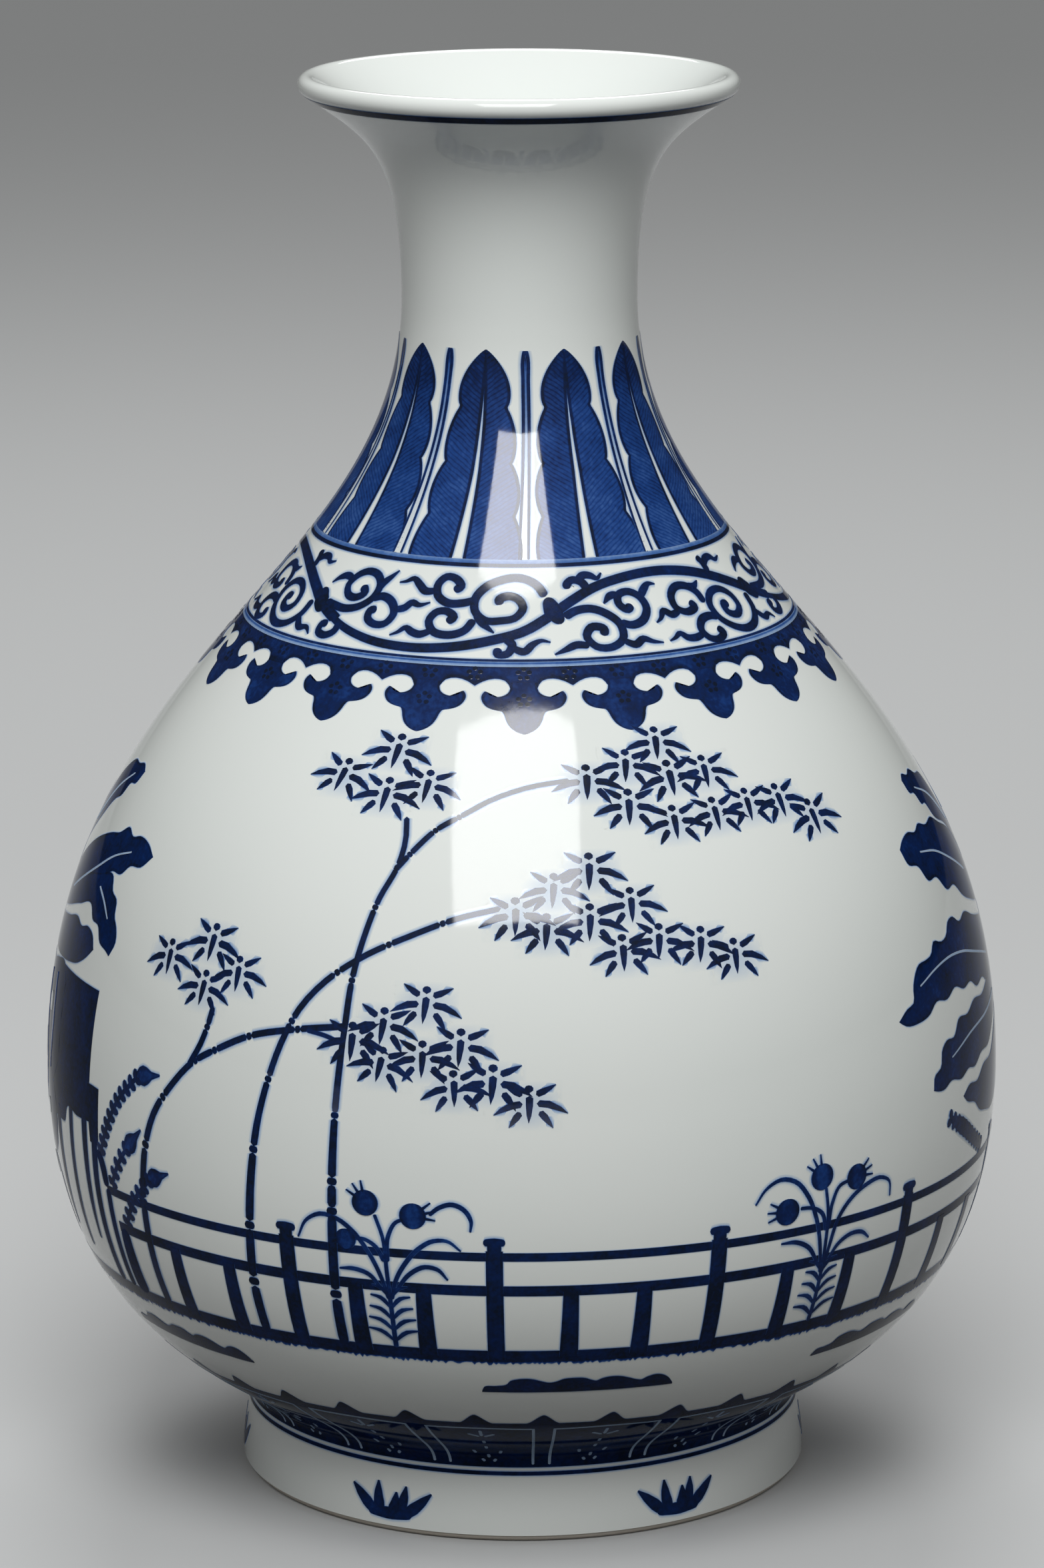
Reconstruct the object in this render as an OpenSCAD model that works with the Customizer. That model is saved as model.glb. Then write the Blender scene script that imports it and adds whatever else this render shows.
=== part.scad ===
// Pear-shaped porcelain bottle vase, thrown in sections and luted together with slip.
// One outline runs from the foot rim to the mouth as a chain of cubic curves. Each wall,
// seam and glaze coat is a layer at its own depth below that outline, so that
// neighbouring pieces share their faces. Millimetres, +Z up, origin under the foot.

/* [Overall] */
// Height from the foot rim to the top of the lip
height = 288; // [275:1:320]

/* [Foot] */
// Outer diameter at the foot rim
foot_d = 116.6; // [104:0.2:130]
// Width of the foot ring
ring_w = 7; // [5:0.1:12]
// Rounding of the bare rim, which is also how far up the glaze stops
edge_r = 1.5; // [0.5:0.1:2.2]
// Depth of the recess inside the foot ring
recess_h = 9; // [6:0.1:13]
// Outer diameter of the waist where the foot meets the body
waist_d = 114; // [102:0.2:128]
// Height of that waist
waist_z = 15.5; // [13:0.1:24]

/* [Body] */
// Largest diameter of the belly
belly_d = 195; // [170:0.5:220]
// Height of the largest diameter
belly_z = 85; // [70:0.5:100]
// Thickness of the body's wall, without glaze
body_wall = 4.5; // [3:0.1:7]
// Thickness of the floor
floor_t = 6; // [4:0.1:10]
// Height of the seam between the lower and the upper body
belly_seam_z = 92; // [60:0.5:130]

/* [Neck and mouth] */
// Outer diameter of the neck where it is narrowest
neck_d = 47.4; // [38:0.1:60]
// Height of the narrowest place
neck_z = 243.5; // [225:0.5:255]
// Thickness of the neck's wall there, without glaze
neck_wall = 3.6; // [2.5:0.1:5]
// Height of the seam between the upper body and the neck
neck_seam_z = 203; // [170:0.5:225]
// Outer diameter of the mouth
mouth_d = 88.4; // [75:0.2:105]
// Angle between the flare of the mouth and the level
flare_angle = 35.5; // [15:0.5:60]
// Thickness of the rounded lip
lip_t = 3.8; // [2.5:0.1:5]

/* [Fullness of the curves] */
// Upright pull at the rim, as a share of the rise to the waist
rim_pull = 0.35; // [0.1:0.01:0.6]
// Upright pull below the waist, as a share of the same rise
waist_low_pull = 0.35; // [0.1:0.01:0.6]
// Upright pull above the waist, as a share of the rise to the belly
waist_high_pull = 0.13; // [0.05:0.01:0.4]
// Upright pull below the belly, as a share of the same rise
belly_low_pull = 0.82; // [0.5:0.01:0.9]
// Upright pull above the belly, as a share of the rise to the neck
belly_high_pull = 0.533; // [0.3:0.001:0.65]
// Upright pull below the narrowest place, as a share of the same rise
neck_low_pull = 0.369; // [0.2:0.001:0.5]
// Upright pull above the narrowest place, as a share of the rise to the mouth
neck_high_pull = 0.73; // [0.4:0.01:0.85]
// Pull of the flare, as a share of the same rise
flare_pull = 0.378; // [0.2:0.001:0.5]

/* [Glaze and slip] */
// Thickness of each coat of glaze
glaze_t = 0.4; // [0.2:0.05:0.8]
// Thickness of the slip in each seam
slip_t = 0.8; // [0.4:0.1:1.5]

/* [Hidden] */

// Steps along a section's curve, and round a half circle
CURVE_STEPS = 24;
FOOT_STEPS = 6;
ROUND_STEPS = 12;

// Layers of the wall, from the glazed outside to the glazed inside
OUTSIDE = 0;
CLAY_OUT = 1;
CLAY_IN = 2;
INSIDE = 3;

// Places that the outline passes through, as [radius, height]
rim = [foot_d / 2, edge_r];
waist = [waist_d / 2, waist_z];
belly = [belly_d / 2, belly_z];
throat = [neck_d / 2, neck_z];
lip_centre = [(mouth_d - lip_t) / 2, height - lip_t / 2];
mouth = lip_centre + lip_t / 2 * [sin(flare_angle), -cos(flare_angle)];

// Cubic curve that leaves a upright and reaches b upright
function upright_curve(a, a_pull, b, b_pull) =
    let (rise = b.y - a.y)
    [a, a + [0, a_pull * rise], b - [0, b_pull * rise], b];

mouth_rise = mouth.y - throat.y;
CURVES = [
    upright_curve(rim, rim_pull, waist, waist_low_pull),
    upright_curve(waist, waist_high_pull, belly, belly_low_pull),
    upright_curve(belly, belly_high_pull, throat, neck_low_pull),
    [throat, throat + [0, neck_high_pull * mouth_rise],
        mouth - flare_pull * mouth_rise * [cos(flare_angle), sin(flare_angle)], mouth]
];

// The outline runs from u = 0 at the rim to U_MOUTH at the mouth, one unit for each curve
U_BELLY = 2;
U_NECK = 3;
U_MOUTH = len(CURVES);

function mix(a, b, t) = a + (b - a) * t;
function curve_of(u) = min(floor(u), U_MOUTH - 1);

function cubic(p, t) =
    let (s = 1 - t)
    s * s * s * p[0] + 3 * s * s * t * p[1] + 3 * s * t * t * p[2] + t * t * t * p[3];

function cubic_slope(p, t) =
    let (s = 1 - t)
    3 * (s * s * (p[1] - p[0]) + 2 * s * t * (p[2] - p[1]) + t * t * (p[3] - p[2]));

function slope(u) = cubic_slope(CURVES[curve_of(u)], u - curve_of(u));
function along(u) = slope(u) / norm(slope(u));
function outward(u) = [along(u).y, -along(u).x];

// Clay between the coats of glaze: the body's wall, thinning to the neck and then to the lip
lip_wall = lip_t - 2 * glaze_t;
function wall(u) =
    u < U_BELLY ? body_wall
    : u < U_NECK ? mix(body_wall, neck_wall, u - U_BELLY)
    : mix(neck_wall, lip_wall, u - U_NECK);

function depth(u, layer) = [0, glaze_t, glaze_t + wall(u), 2 * glaze_t + wall(u)][layer];
function skin(u, layer) =
    cubic(CURVES[curve_of(u)], u - curve_of(u)) - depth(u, layer) * outward(u);

// Where a layer reaches the height z, by halving the outline
HALVINGS = 40;
function u_at(z, layer, low = 0, high = U_MOUTH, left = HALVINGS) =
    let (middle = (low + high) / 2)
    left == 0 ? middle
    : skin(middle, layer).y < z ? u_at(z, layer, middle, high, left - 1)
    : u_at(z, layer, low, middle, left - 1);

// Where the outline has run on by the thickness of the slip
function past_slip(u) = u + slip_t / norm(slope(u));

function steps(from, to, count) = [for (i = [0:count]) mix(from, to, i / count)];
function run(us, layer) = [for (u = us) skin(u, layer)];
function backwards(list) = [for (i = [len(list) - 1:-1:0]) list[i]];
function arc(centre, radius, from, to) =
    [for (a = steps(from, to, ROUND_STEPS)) centre + radius * [cos(a), sin(a)]];

// Round end of the lip, from its outside over the top to its inside
function lip_round(radius) =
    arc(lip_centre, radius, flare_angle - 90, flare_angle + 90);

// Levels and seams
ring_top_z = recess_h - slip_t;
floor_z = recess_h + floor_t;
u_ring_top = u_at(ring_top_z, CLAY_OUT);
u_body_base = u_at(recess_h, CLAY_OUT);
u_floor = u_at(floor_z, CLAY_IN);
u_glazed_floor = u_at(floor_z + glaze_t, INSIDE);
u_lower_top = u_at(belly_seam_z, CLAY_OUT);
u_upper_base = past_slip(u_lower_top);
u_upper_top = u_at(neck_seam_z, CLAY_OUT);
u_neck_base = past_slip(u_upper_top);

// Inside of the foot ring at the height z: one ring's width in from its outer side
ring_in_rim_r = skin(0, CLAY_OUT).x - ring_w;
ring_in_roof_r = skin(u_body_base, CLAY_OUT).x - ring_w;
function ring_in(z) =
    [mix(ring_in_rim_r, ring_in_roof_r, (z - edge_r) / (recess_h - edge_r)), z];

// Stations along each section, shared by the clay and its glaze
foot_us = steps(0, u_ring_top, FOOT_STEPS);
lower_us = steps(u_body_base, u_lower_top, CURVE_STEPS);
bowl_us = steps(u_floor, u_lower_top, CURVE_STEPS);
upper_us = steps(u_upper_base, u_upper_top, CURVE_STEPS);
neck_us = steps(u_neck_base, U_MOUTH, CURVE_STEPS);
outside_us = concat(foot_us, lower_us, upper_us, neck_us);
inside_us = concat(bowl_us, upper_us, neck_us);
glazed_inside_us = concat(steps(u_glazed_floor, u_lower_top, CURVE_STEPS), upper_us, neck_us);

module turned(outline) rotate_extrude($fn = 180) polygon(outline);

// Ring of slip that fills the seam between two stations of the wall
module slip_seam(u_from, u_to)
    color("gainsboro")
    turned(concat(run([u_from, u_to], CLAY_OUT), run([u_to, u_from], CLAY_IN)));

module foot_ring() {
    inner_edge = arc([ring_in_rim_r + edge_r, edge_r], edge_r, 180, 270);
    outer_edge = arc(skin(0, CLAY_OUT) - [edge_r, 0], edge_r, 270, 360);
    ring_side = run([for (i = [1:FOOT_STEPS]) foot_us[i]], CLAY_OUT);
    color("antiquewhite")
    turned(concat(inner_edge, outer_edge, ring_side, [ring_in(ring_top_z)]));
}

module foot_slip()
    color("gainsboro")
    turned(concat(run([u_ring_top, u_body_base], CLAY_OUT),
        [ring_in(recess_h), ring_in(ring_top_z)]));

module lower_body()
    color("whitesmoke")
    turned(concat(run(lower_us, CLAY_OUT), backwards(run(bowl_us, CLAY_IN)),
        [[0, floor_z], [0, recess_h]]));

module belly_slip() slip_seam(u_lower_top, u_upper_base);

module upper_body()
    color("whitesmoke")
    turned(concat(run(upper_us, CLAY_OUT), backwards(run(upper_us, CLAY_IN))));

module neck_slip() slip_seam(u_upper_top, u_neck_base);

module neck() {
    lip = lip_round(lip_wall / 2);
    lip_between = [for (i = [1:ROUND_STEPS - 1]) lip[i]];
    color("whitesmoke")
    turned(concat(run(neck_us, CLAY_OUT), lip_between, backwards(run(neck_us, CLAY_IN))));
}

// Glaze over the outside, rolled over the lip to its inner edge
module outer_glaze() {
    lip_face = lip_round(lip_t / 2);
    lip_between = [for (i = [1:ROUND_STEPS]) lip_face[i]];
    lip_clay = lip_round(lip_wall / 2);
    clay_between = [for (i = [ROUND_STEPS:-1:1]) lip_clay[i]];
    color("azure")
    turned(concat(run(outside_us, OUTSIDE), lip_between, clay_between,
        backwards(run(outside_us, CLAY_OUT))));
}

// Glaze over the inside, from the lip down across the floor
module inner_glaze()
    color("azure")
    turned(concat([[0, floor_z]], run(inside_us, CLAY_IN),
        backwards(run(glazed_inside_us, INSIDE)), [[0, floor_z + glaze_t]]));

// Glaze in the recess under the foot, down to the bare rim
module base_glaze() {
    roof_z = recess_h - glaze_t;
    coat = [glaze_t, 0];
    color("azure")
    turned([[0, recess_h], [0, roof_z], ring_in(roof_z) - coat, ring_in(edge_r) - coat,
        ring_in(edge_r), ring_in(recess_h)]);
}

foot_ring();
foot_slip();
lower_body();
belly_slip();
upper_body();
neck_slip();
neck();
outer_glaze();
inner_glaze();
base_glaze();
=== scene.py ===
# %% [markdown]
# A pear-shaped porcelain vase in blue and white
#
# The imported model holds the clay: foot, body, neck, the slip in their seams and the coats of
# glaze. This lesson dresses it. The plain glazed skins are turned again as fine surfaces, and
# the garden that is painted round the vase is laid on them brush stroke by brush stroke.

import bpy
import numpy as np
from mathutils import Euler, Matrix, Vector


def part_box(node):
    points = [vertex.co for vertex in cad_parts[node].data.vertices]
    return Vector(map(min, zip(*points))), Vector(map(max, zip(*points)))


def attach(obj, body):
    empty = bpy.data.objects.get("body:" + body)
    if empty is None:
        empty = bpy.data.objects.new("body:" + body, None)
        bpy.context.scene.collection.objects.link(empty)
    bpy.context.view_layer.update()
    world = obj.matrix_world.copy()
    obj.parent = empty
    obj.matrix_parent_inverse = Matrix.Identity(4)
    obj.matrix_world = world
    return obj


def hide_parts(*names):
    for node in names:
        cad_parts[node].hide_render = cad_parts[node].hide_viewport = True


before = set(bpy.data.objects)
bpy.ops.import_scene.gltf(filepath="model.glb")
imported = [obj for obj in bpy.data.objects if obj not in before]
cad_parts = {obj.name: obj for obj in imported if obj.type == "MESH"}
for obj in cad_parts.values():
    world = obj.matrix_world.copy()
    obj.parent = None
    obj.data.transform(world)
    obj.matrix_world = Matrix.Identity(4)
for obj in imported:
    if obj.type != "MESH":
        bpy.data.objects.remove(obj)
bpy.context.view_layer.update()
MM = 0.001
print("clay and glaze:", ", ".join(sorted(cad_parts)))

# %% [markdown]
# The outline
#
# A thrower shapes the whole vase with one profile, so the lesson starts from that profile: four
# cubic curves from the foot rim over waist, belly and throat to the mouth, each leaving and
# reaching its ends upright. It could be traced as many points, but four curves with the
# sizes of the clay keep it smooth at any fineness and tie every piece to the same wall.

# %% Sizes of the wall in millimetres
RIM = np.array([58.3, 1.5])
WAIST = np.array([57.0, 15.5])
BELLY = np.array([97.5, 85.0])
THROAT = np.array([23.7, 243.5])
HEIGHT = 288.0
MOUTH_D = 88.4
LIP_T = 3.8
FLARE = np.radians(35.5)
GLAZE_T = 0.4
FLOOR_Z = 15.0
RECESS_Z = 9.0
RING_TOP_Z = 8.2
RING_W = 7.0
# The clay's thickness, at stations that count the curves from the rim
WALL_STATIONS = [0, 2, 3, 4]
WALL_T = [4.5, 4.5, 3.6, 3.0]
# How far the inner corners of a curve lie from its two ends, as shares of its rise
RIM_TO_WAIST = (0.35, 0.35)
WAIST_TO_BELLY = (0.13, 0.82)
BELLY_TO_THROAT = (0.533, 0.369)
THROAT_TO_MOUTH = (0.73, 0.378)
print("vase", HEIGHT, "mm tall and", 2 * BELLY[0], "mm wide")


# %% Outline, its length and its normals
def upright(a, b, pulls):
    """Corners of a cubic that leaves a and reaches b upright, pulled by shares of the rise."""
    rise = b[1] - a[1]
    return np.array([a, a + [0, pulls[0] * rise], b - [0, pulls[1] * rise], b])


def cubic(corners, t):
    """Cubic curve: corners weighted by the terms of (s + t) cubed, with s = 1 - t."""
    t = t[:, None]
    s = 1 - t
    a, b, c, d = corners
    return s**3 * a + 3 * s**2 * t * b + 3 * s * t**2 * c + t**3 * d


def way_along(path):
    """Length of a path up to each of its points: the steps between them, added up."""
    return np.append(0, np.cumsum(np.hypot(*np.diff(path, axis=0).T)))


lip_centre = np.array([(MOUTH_D - LIP_T) / 2, HEIGHT - LIP_T / 2])
out_of_lip = np.array([np.sin(FLARE), -np.cos(FLARE)])
mouth = lip_centre + LIP_T / 2 * out_of_lip
rise = mouth[1] - THROAT[1]
flare_pull = THROAT_TO_MOUTH[1] * rise * np.array([np.cos(FLARE), np.sin(FLARE)])
CURVES = [
    upright(RIM, WAIST, RIM_TO_WAIST),
    upright(WAIST, BELLY, WAIST_TO_BELLY),
    upright(BELLY, THROAT, BELLY_TO_THROAT),
    np.array([THROAT, THROAT + [0, THROAT_TO_MOUTH[0] * rise], mouth - flare_pull, mouth]),
]
STEPS = 500
share = np.linspace(0, 1, STEPS, endpoint=False)
OUTLINE = np.concatenate([cubic(c, share) for c in CURVES] + [mouth[None]])
STATION = np.append((np.arange(len(CURVES))[:, None] + share).ravel(), len(CURVES))
ARC = way_along(OUTLINE)
along = np.gradient(OUTLINE, ARC, axis=0)
NORMAL = np.stack([along[:, 1], -along[:, 0]], -1) / np.hypot(*along.T)[:, None]
WALL = np.interp(STATION, WALL_STATIONS, WALL_T)
heading = np.unwrap(np.arctan2(along[:, 1], along[:, 0]))
TURNED = np.append(0, np.cumsum(np.abs(np.diff(heading))))
low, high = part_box("outer_glaze")
print("outline", round(ARC[-1], 1), "mm long, widest", round(2 * OUTLINE[:, 0].max(), 1),
      "mm; the glaze node is", round((high[0] - low[0]) / MM, 1), "mm wide")

# %% [markdown]
# Turned skins
#
# A vase is a surface of revolution. Blender's Screw modifier could turn the profile, but a grid
# worked out with numpy gives the rows and the angles directly and joins its seam by itself. The
# packed skins are turned coarsely, which shows in a mirror-bright glaze, so fine ones stand for
# them. A thin clear shell would need its own inner wall, so each profile is a closed loop.

# %% Turn a closed profile
AROUND = 256


def arc_points(centre, radius, start, end, count):
    """Points on a circle: centre plus radius times cosine and sine from start to end."""
    a = np.radians(np.linspace(start, end, count))
    return centre + radius * np.stack([np.cos(a), np.sin(a)], -1)


def turned(profile):
    """Points and faces of a profile carried round the axis: (r sin a, -r cos a, z) for each angle a.

    A profile that starts and ends on the axis is closed there by fans, and any other is a loop
    whose last row joins its first."""
    on_axis = profile[0, 0] == 0
    rings = profile[1:-1] if on_axis else profile
    a = np.linspace(0, 2 * np.pi, AROUND, endpoint=False)
    r = rings[:, :1]
    z = np.repeat(rings[:, 1:], AROUND, 1)
    points = np.stack([r * np.sin(a), -r * np.cos(a), z], -1).reshape(-1, 3)
    number = np.arange(len(points)).reshape(-1, AROUND)
    upper = number[1:] if on_axis else np.roll(number, -1, 0)
    lower = number[:-1] if on_axis else number
    quads = np.stack([lower, np.roll(lower, -1, 1), np.roll(upper, -1, 1), upper], -1)
    faces = quads.reshape(-1, 4).tolist()
    if on_axis:
        first = len(points)
        poles = np.stack([np.zeros(2), np.zeros(2), profile[[0, -1], 1]], -1)
        points = np.concatenate([points, poles])
        next_round = np.roll(number, -1, 1)
        start = np.stack([np.full(AROUND, first), next_round[0], number[0]], -1)
        end = np.stack([np.full(AROUND, first + 1), number[-1], next_round[-1]], -1)
        faces += start.tolist() + end.tolist()
    return points * MM, faces


SHARP_CORNER = np.radians(40)


def skin(name, profile, finish, node):
    """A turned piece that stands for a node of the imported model."""
    mesh = bpy.data.meshes.new(name)
    points, faces = turned(profile)
    mesh.from_pydata(points, [], faces)
    mesh.shade_smooth()
    mesh.set_sharp_from_angle(angle=SHARP_CORNER)
    mesh.materials.append(finish)
    piece = bpy.data.objects.new(name, mesh)
    bpy.context.collection.objects.link(piece)
    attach(piece, "root")
    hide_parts(node)
    print(name, "has", len(faces), "faces")
    return piece


# %% [markdown]
# Finishes: what the gloss and the blue have in common
#
# The blue lies under the same coat of glaze as the white, so every glazed finish shares one
# slight waviness and one polish. The blue itself is one pigment: thin it is sky blue, heaped it
# is nearly black. Both effects are node groups, built once and placed in each finish, and each
# stroke carries its own depth of colour as a tone on its points.

# %% Helpers for nodes
def feed(tree, node, inputs):
    """Each input that is given an output is wired to it, and each that is given a value is set."""
    for key, value in inputs.items():
        if isinstance(value, bpy.types.NodeSocket):
            tree.links.new(value, node.inputs[key])
        else:
            node.inputs[key].default_value = value


def add(tree, kind, inputs=None, **settings):
    """New node with its settings and inputs."""
    made = tree.nodes.new(kind)
    for key, value in settings.items():
        setattr(made, key, value)
    feed(tree, made, inputs or {})
    return made


def group(name, inputs, outputs):
    """Empty shader group with named sockets, and its two end nodes."""
    tree = bpy.data.node_groups.new(name, "ShaderNodeTree")
    for in_out, sockets in (("INPUT", inputs), ("OUTPUT", outputs)):
        for label, kind in sockets.items():
            tree.interface.new_socket(label, in_out=in_out, socket_type=kind)
    return tree, tree.nodes.new("NodeGroupInput"), tree.nodes.new("NodeGroupOutput")


def object_place(tree):
    """A point's place on the object."""
    return add(tree, "ShaderNodeTexCoord").outputs["Object"]


def noise(tree, scale, detail):
    """Noise over the object, as a value."""
    cells = add(tree, "ShaderNodeTexNoise", {"Vector": object_place(tree), "Scale": scale, "Detail": detail})
    return cells.outputs["Fac"]


def ranged(tree, value, low, high, start=0.0, end=1.0, **settings):
    """The stretch of a value from start to end, carried over to the stretch from low to high."""
    ends = {"Value": value, "From Min": start, "From Max": end, "To Min": low, "To Max": high}
    return add(tree, "ShaderNodeMapRange", ends, **settings).outputs["Result"]


def mixed(tree, factor, a, b, kind="RGBA"):
    """From a to b by a factor."""
    return add(tree, "ShaderNodeMix", {"Factor": factor, "A": a, "B": b}, data_type=kind).outputs["Result"]


def reckoned(tree, operation, *terms, **settings):
    """An operation on values in their order."""
    terms = dict(enumerate(terms))
    return add(tree, "ShaderNodeMath", terms, operation=operation, **settings).outputs["Value"]


# %% Waviness and polish of fired glaze
VALUE = "NodeSocketFloat"
gloss, _, gloss_out = group("fired_gloss", {}, {"Roughness": VALUE, "Height": VALUE})
swell = noise(gloss, 55.0, 1.0)
peel = noise(gloss, 420.0, 2.0)
feed(gloss, gloss_out, {"Roughness": ranged(gloss, peel, 0.03, 0.09),
                        "Height": mixed(gloss, 0.06, swell, peel, "FLOAT")})
print("group", gloss.name)

# %% Depth of the blue
BLUE_STOPS = [
    (0.00, (0.762, 0.798, 0.770, 1)),
    (0.20, (0.34, 0.47, 0.66, 1)),
    (0.42, (0.070, 0.165, 0.42, 1)),
    (0.62, (0.012, 0.055, 0.235, 1)),
    (0.80, (0.0045, 0.0185, 0.090, 1)),
    (1.00, (0.0052, 0.0105, 0.027, 1)),
]
blue, blue_in, blue_out = group("cobalt_depth", {"Tone": VALUE}, {"Color": "NodeSocketColor"})
pool = ranged(blue, noise(blue, 180.0, 2.0), 0.90, 1.08, 0.3, 0.7)
heap = ranged(blue, noise(blue, 1100.0, 2.0), 0.93, 1.06, 0.3, 0.7)
uneven = reckoned(blue, "MULTIPLY", pool, heap)
tone = reckoned(blue, "MULTIPLY", blue_in.outputs["Tone"], uneven)
ramp = add(blue, "ShaderNodeValToRGB", {"Fac": tone})
stops = ramp.color_ramp.elements
for position, _ in BLUE_STOPS[1:-1]:
    stops.new(position)
for stop, (_, colour) in zip(stops, BLUE_STOPS):
    stop.color = colour
feed(blue, blue_out, {"Color": ramp.outputs["Color"]})
print("group", blue.name, "with", len(stops), "stops")

# %% [markdown]
# The finishes themselves
#
# Porcelain glaze is white with a breath of blue-green, and a few grains of iron show as specks.
# A plain white would pass from afar, but close by the slow change of tint and the specks tell
# fired stone from plastic. The bare rim is unglazed clay, warm and matt.

# %% White glaze
GLAZE_IOR = 1.52
WHITE_SHINE = 0.42
COOL_WHITE = (0.745, 0.790, 0.762, 1)
WARM_WHITE = (0.780, 0.805, 0.778, 1)
IRON = (0.16, 0.13, 0.10, 1)
IRON_SHARE = 0.2


def glazed(name, shine):
    """Glossy material whose roughness and fine waviness come from the shared gloss group."""
    finish = bpy.data.materials.new(name)
    finish.use_nodes = True
    tree = finish.node_tree
    shader = tree.nodes["Principled BSDF"]
    coat = add(tree, "ShaderNodeGroup", node_tree=gloss).outputs
    bump = add(tree, "ShaderNodeBump", {"Height": coat["Height"], "Strength": 0.10, "Distance": 0.0006})
    feed(tree, shader, {"IOR": GLAZE_IOR, "Specular IOR Level": shine, "Roughness": coat["Roughness"],
                        "Normal": bump.outputs["Normal"]})
    print("finish", name)
    return finish, tree, shader


white_glaze, tree, shader = glazed("white_glaze", WHITE_SHINE)
tint = mixed(tree, noise(tree, 16.0, 3.0), COOL_WHITE, WARM_WHITE)
grain = add(tree, "ShaderNodeTexVoronoi", {"Vector": object_place(tree), "Scale": 38.0}).outputs
near = ranged(tree, grain["Distance"], 0.75, 0.0, 0.011, 0.019)
lot = add(tree, "ShaderNodeSeparateColor", {"Color": grain["Color"]}).outputs["Red"]
speck = reckoned(tree, "MULTIPLY", near, reckoned(tree, "GREATER_THAN", lot, 1 - IRON_SHARE))
feed(tree, shader, {"Base Color": mixed(tree, speck, tint, IRON)})

# %% Blue under the glaze, glossier than the white for a painted highlight, and dimmed where a cut reflection paints shade
def painted(name, shine, deepen=None):
    """Glazed material whose colour is the cobalt at the tone that the points carry.

    Where a function is given, it deepens that tone first."""
    finish, tree, shader = glazed(name, shine)
    depth = add(tree, "ShaderNodeAttribute", attribute_name="tone").outputs["Fac"]
    depth = deepen(tree, depth) if deepen else depth
    pigment = add(tree, "ShaderNodeGroup", {"Tone": depth}, node_tree=blue)
    feed(tree, shader, {"Base Color": pigment.outputs["Color"]})
    return finish


# The brush and leaf blues shine more than the white glaze, so the soft box's window shows brighter on the
# strokes: a painted highlight. The dimmed and matt blues hardly shine, so the pale floor shows in them much
# less than in the glaze round them: painted shade.
brush_blue = painted("brush_blue", 0.9)
reflection_dimmed_blue = painted("reflection_dimmed_blue", 0.03)
matt_blue = painted("matt_blue", 0.01)
haze_blue = painted("haze_blue", WHITE_SHINE)

# %% Blue leaf with fine veins
VEINS_PER_MM = 0.95
VEIN_WANDER_MM = 1.1
VEIN_TONE = 0.10


def veined(tree, depth):
    """The tone plus a sine ripple along the brush's first value, times its second."""
    lay_out = add(tree, "ShaderNodeUVMap", uv_map="brush").outputs["UV"]
    brush = add(tree, "ShaderNodeSeparateXYZ", {"Vector": lay_out}).outputs
    wander = reckoned(tree, "MULTIPLY_ADD", noise(tree, 260.0, 1.0), VEIN_WANDER_MM, brush["X"])
    turns = reckoned(tree, "MULTIPLY", wander, 2 * np.pi * VEINS_PER_MM)
    vein = ranged(tree, reckoned(tree, "SINE", turns), 0.0, VEIN_TONE, 0.1, 0.9)
    return reckoned(tree, "MULTIPLY_ADD", vein, brush["Y"], depth)


# Like the brush blue, it shines more than the white glaze: a painted highlight where the soft box shows
leaf_blue = painted("leaf_blue", 0.9, veined)

# %% Bare clay
FLUSHED = (0.62, 0.56, 0.47, 1)
PALE_CLAY = (0.70, 0.66, 0.59, 1)
biscuit = bpy.data.materials.new("bare_clay")
biscuit.use_nodes = True
tree = biscuit.node_tree
sand = noise(tree, 900.0, 4.0)
bump = add(tree, "ShaderNodeBump", {"Height": sand, "Strength": 0.3, "Distance": 0.0002})
feed(tree, tree.nodes["Principled BSDF"], {
    "Base Color": mixed(tree, noise(tree, 45.0, 2.0), FLUSHED, PALE_CLAY),
    "Roughness": ranged(tree, sand, 0.55, 0.85),
    "Normal": bump.outputs["Normal"]})
for clay in ("foot_slip", "lower_body", "belly_slip", "upper_body", "neck_slip", "neck"):
    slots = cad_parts[clay].data.materials
    slots.clear()
    slots.append(biscuit)
print("finish", biscuit.name, "on the clay and slip under the glaze")

# %% [markdown]
# The glazed skins and the bare foot
#
# Four profiles are enough: the coat outside, rolled over the lip; the coat inside, down across
# the floor; the coat in the recess under the foot; and the foot ring, whose rounded rim stays
# bare because it stood on the kiln shelf.

# %% Turn the skins
SEEN_ROWS = 230
HIDDEN_ROWS = 60
BEND_MM = 30.0
LIP_POINTS = 15
CLEAR = 0.05


def layer(depth, rows):
    """The outline moved inwards along its normals by a depth, with rows crowded where it bends."""
    spread = ARC + BEND_MM * TURNED
    at = np.interp(np.linspace(0, spread[-1], rows), spread, ARC)
    moved = OUTLINE - np.broadcast_to(depth, len(ARC))[:, None] * NORMAL
    return np.stack([np.interp(at, ARC, moved[:, 0]), np.interp(at, ARC, moved[:, 1])], -1)


def lip(radius, start, end):
    """Half circle round the lip, without its two ends."""
    flare = np.degrees(FLARE)
    return arc_points(lip_centre, radius, flare + start, flare + end, LIP_POINTS)[1:-1]


def above(points, z):
    """The part of a rising profile above a level, with a first point on that level."""
    start = [np.interp(z, points[:, 1], points[:, 0]), z]
    return np.vstack([start, points[points[:, 1] > z + CLEAR]])


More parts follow.
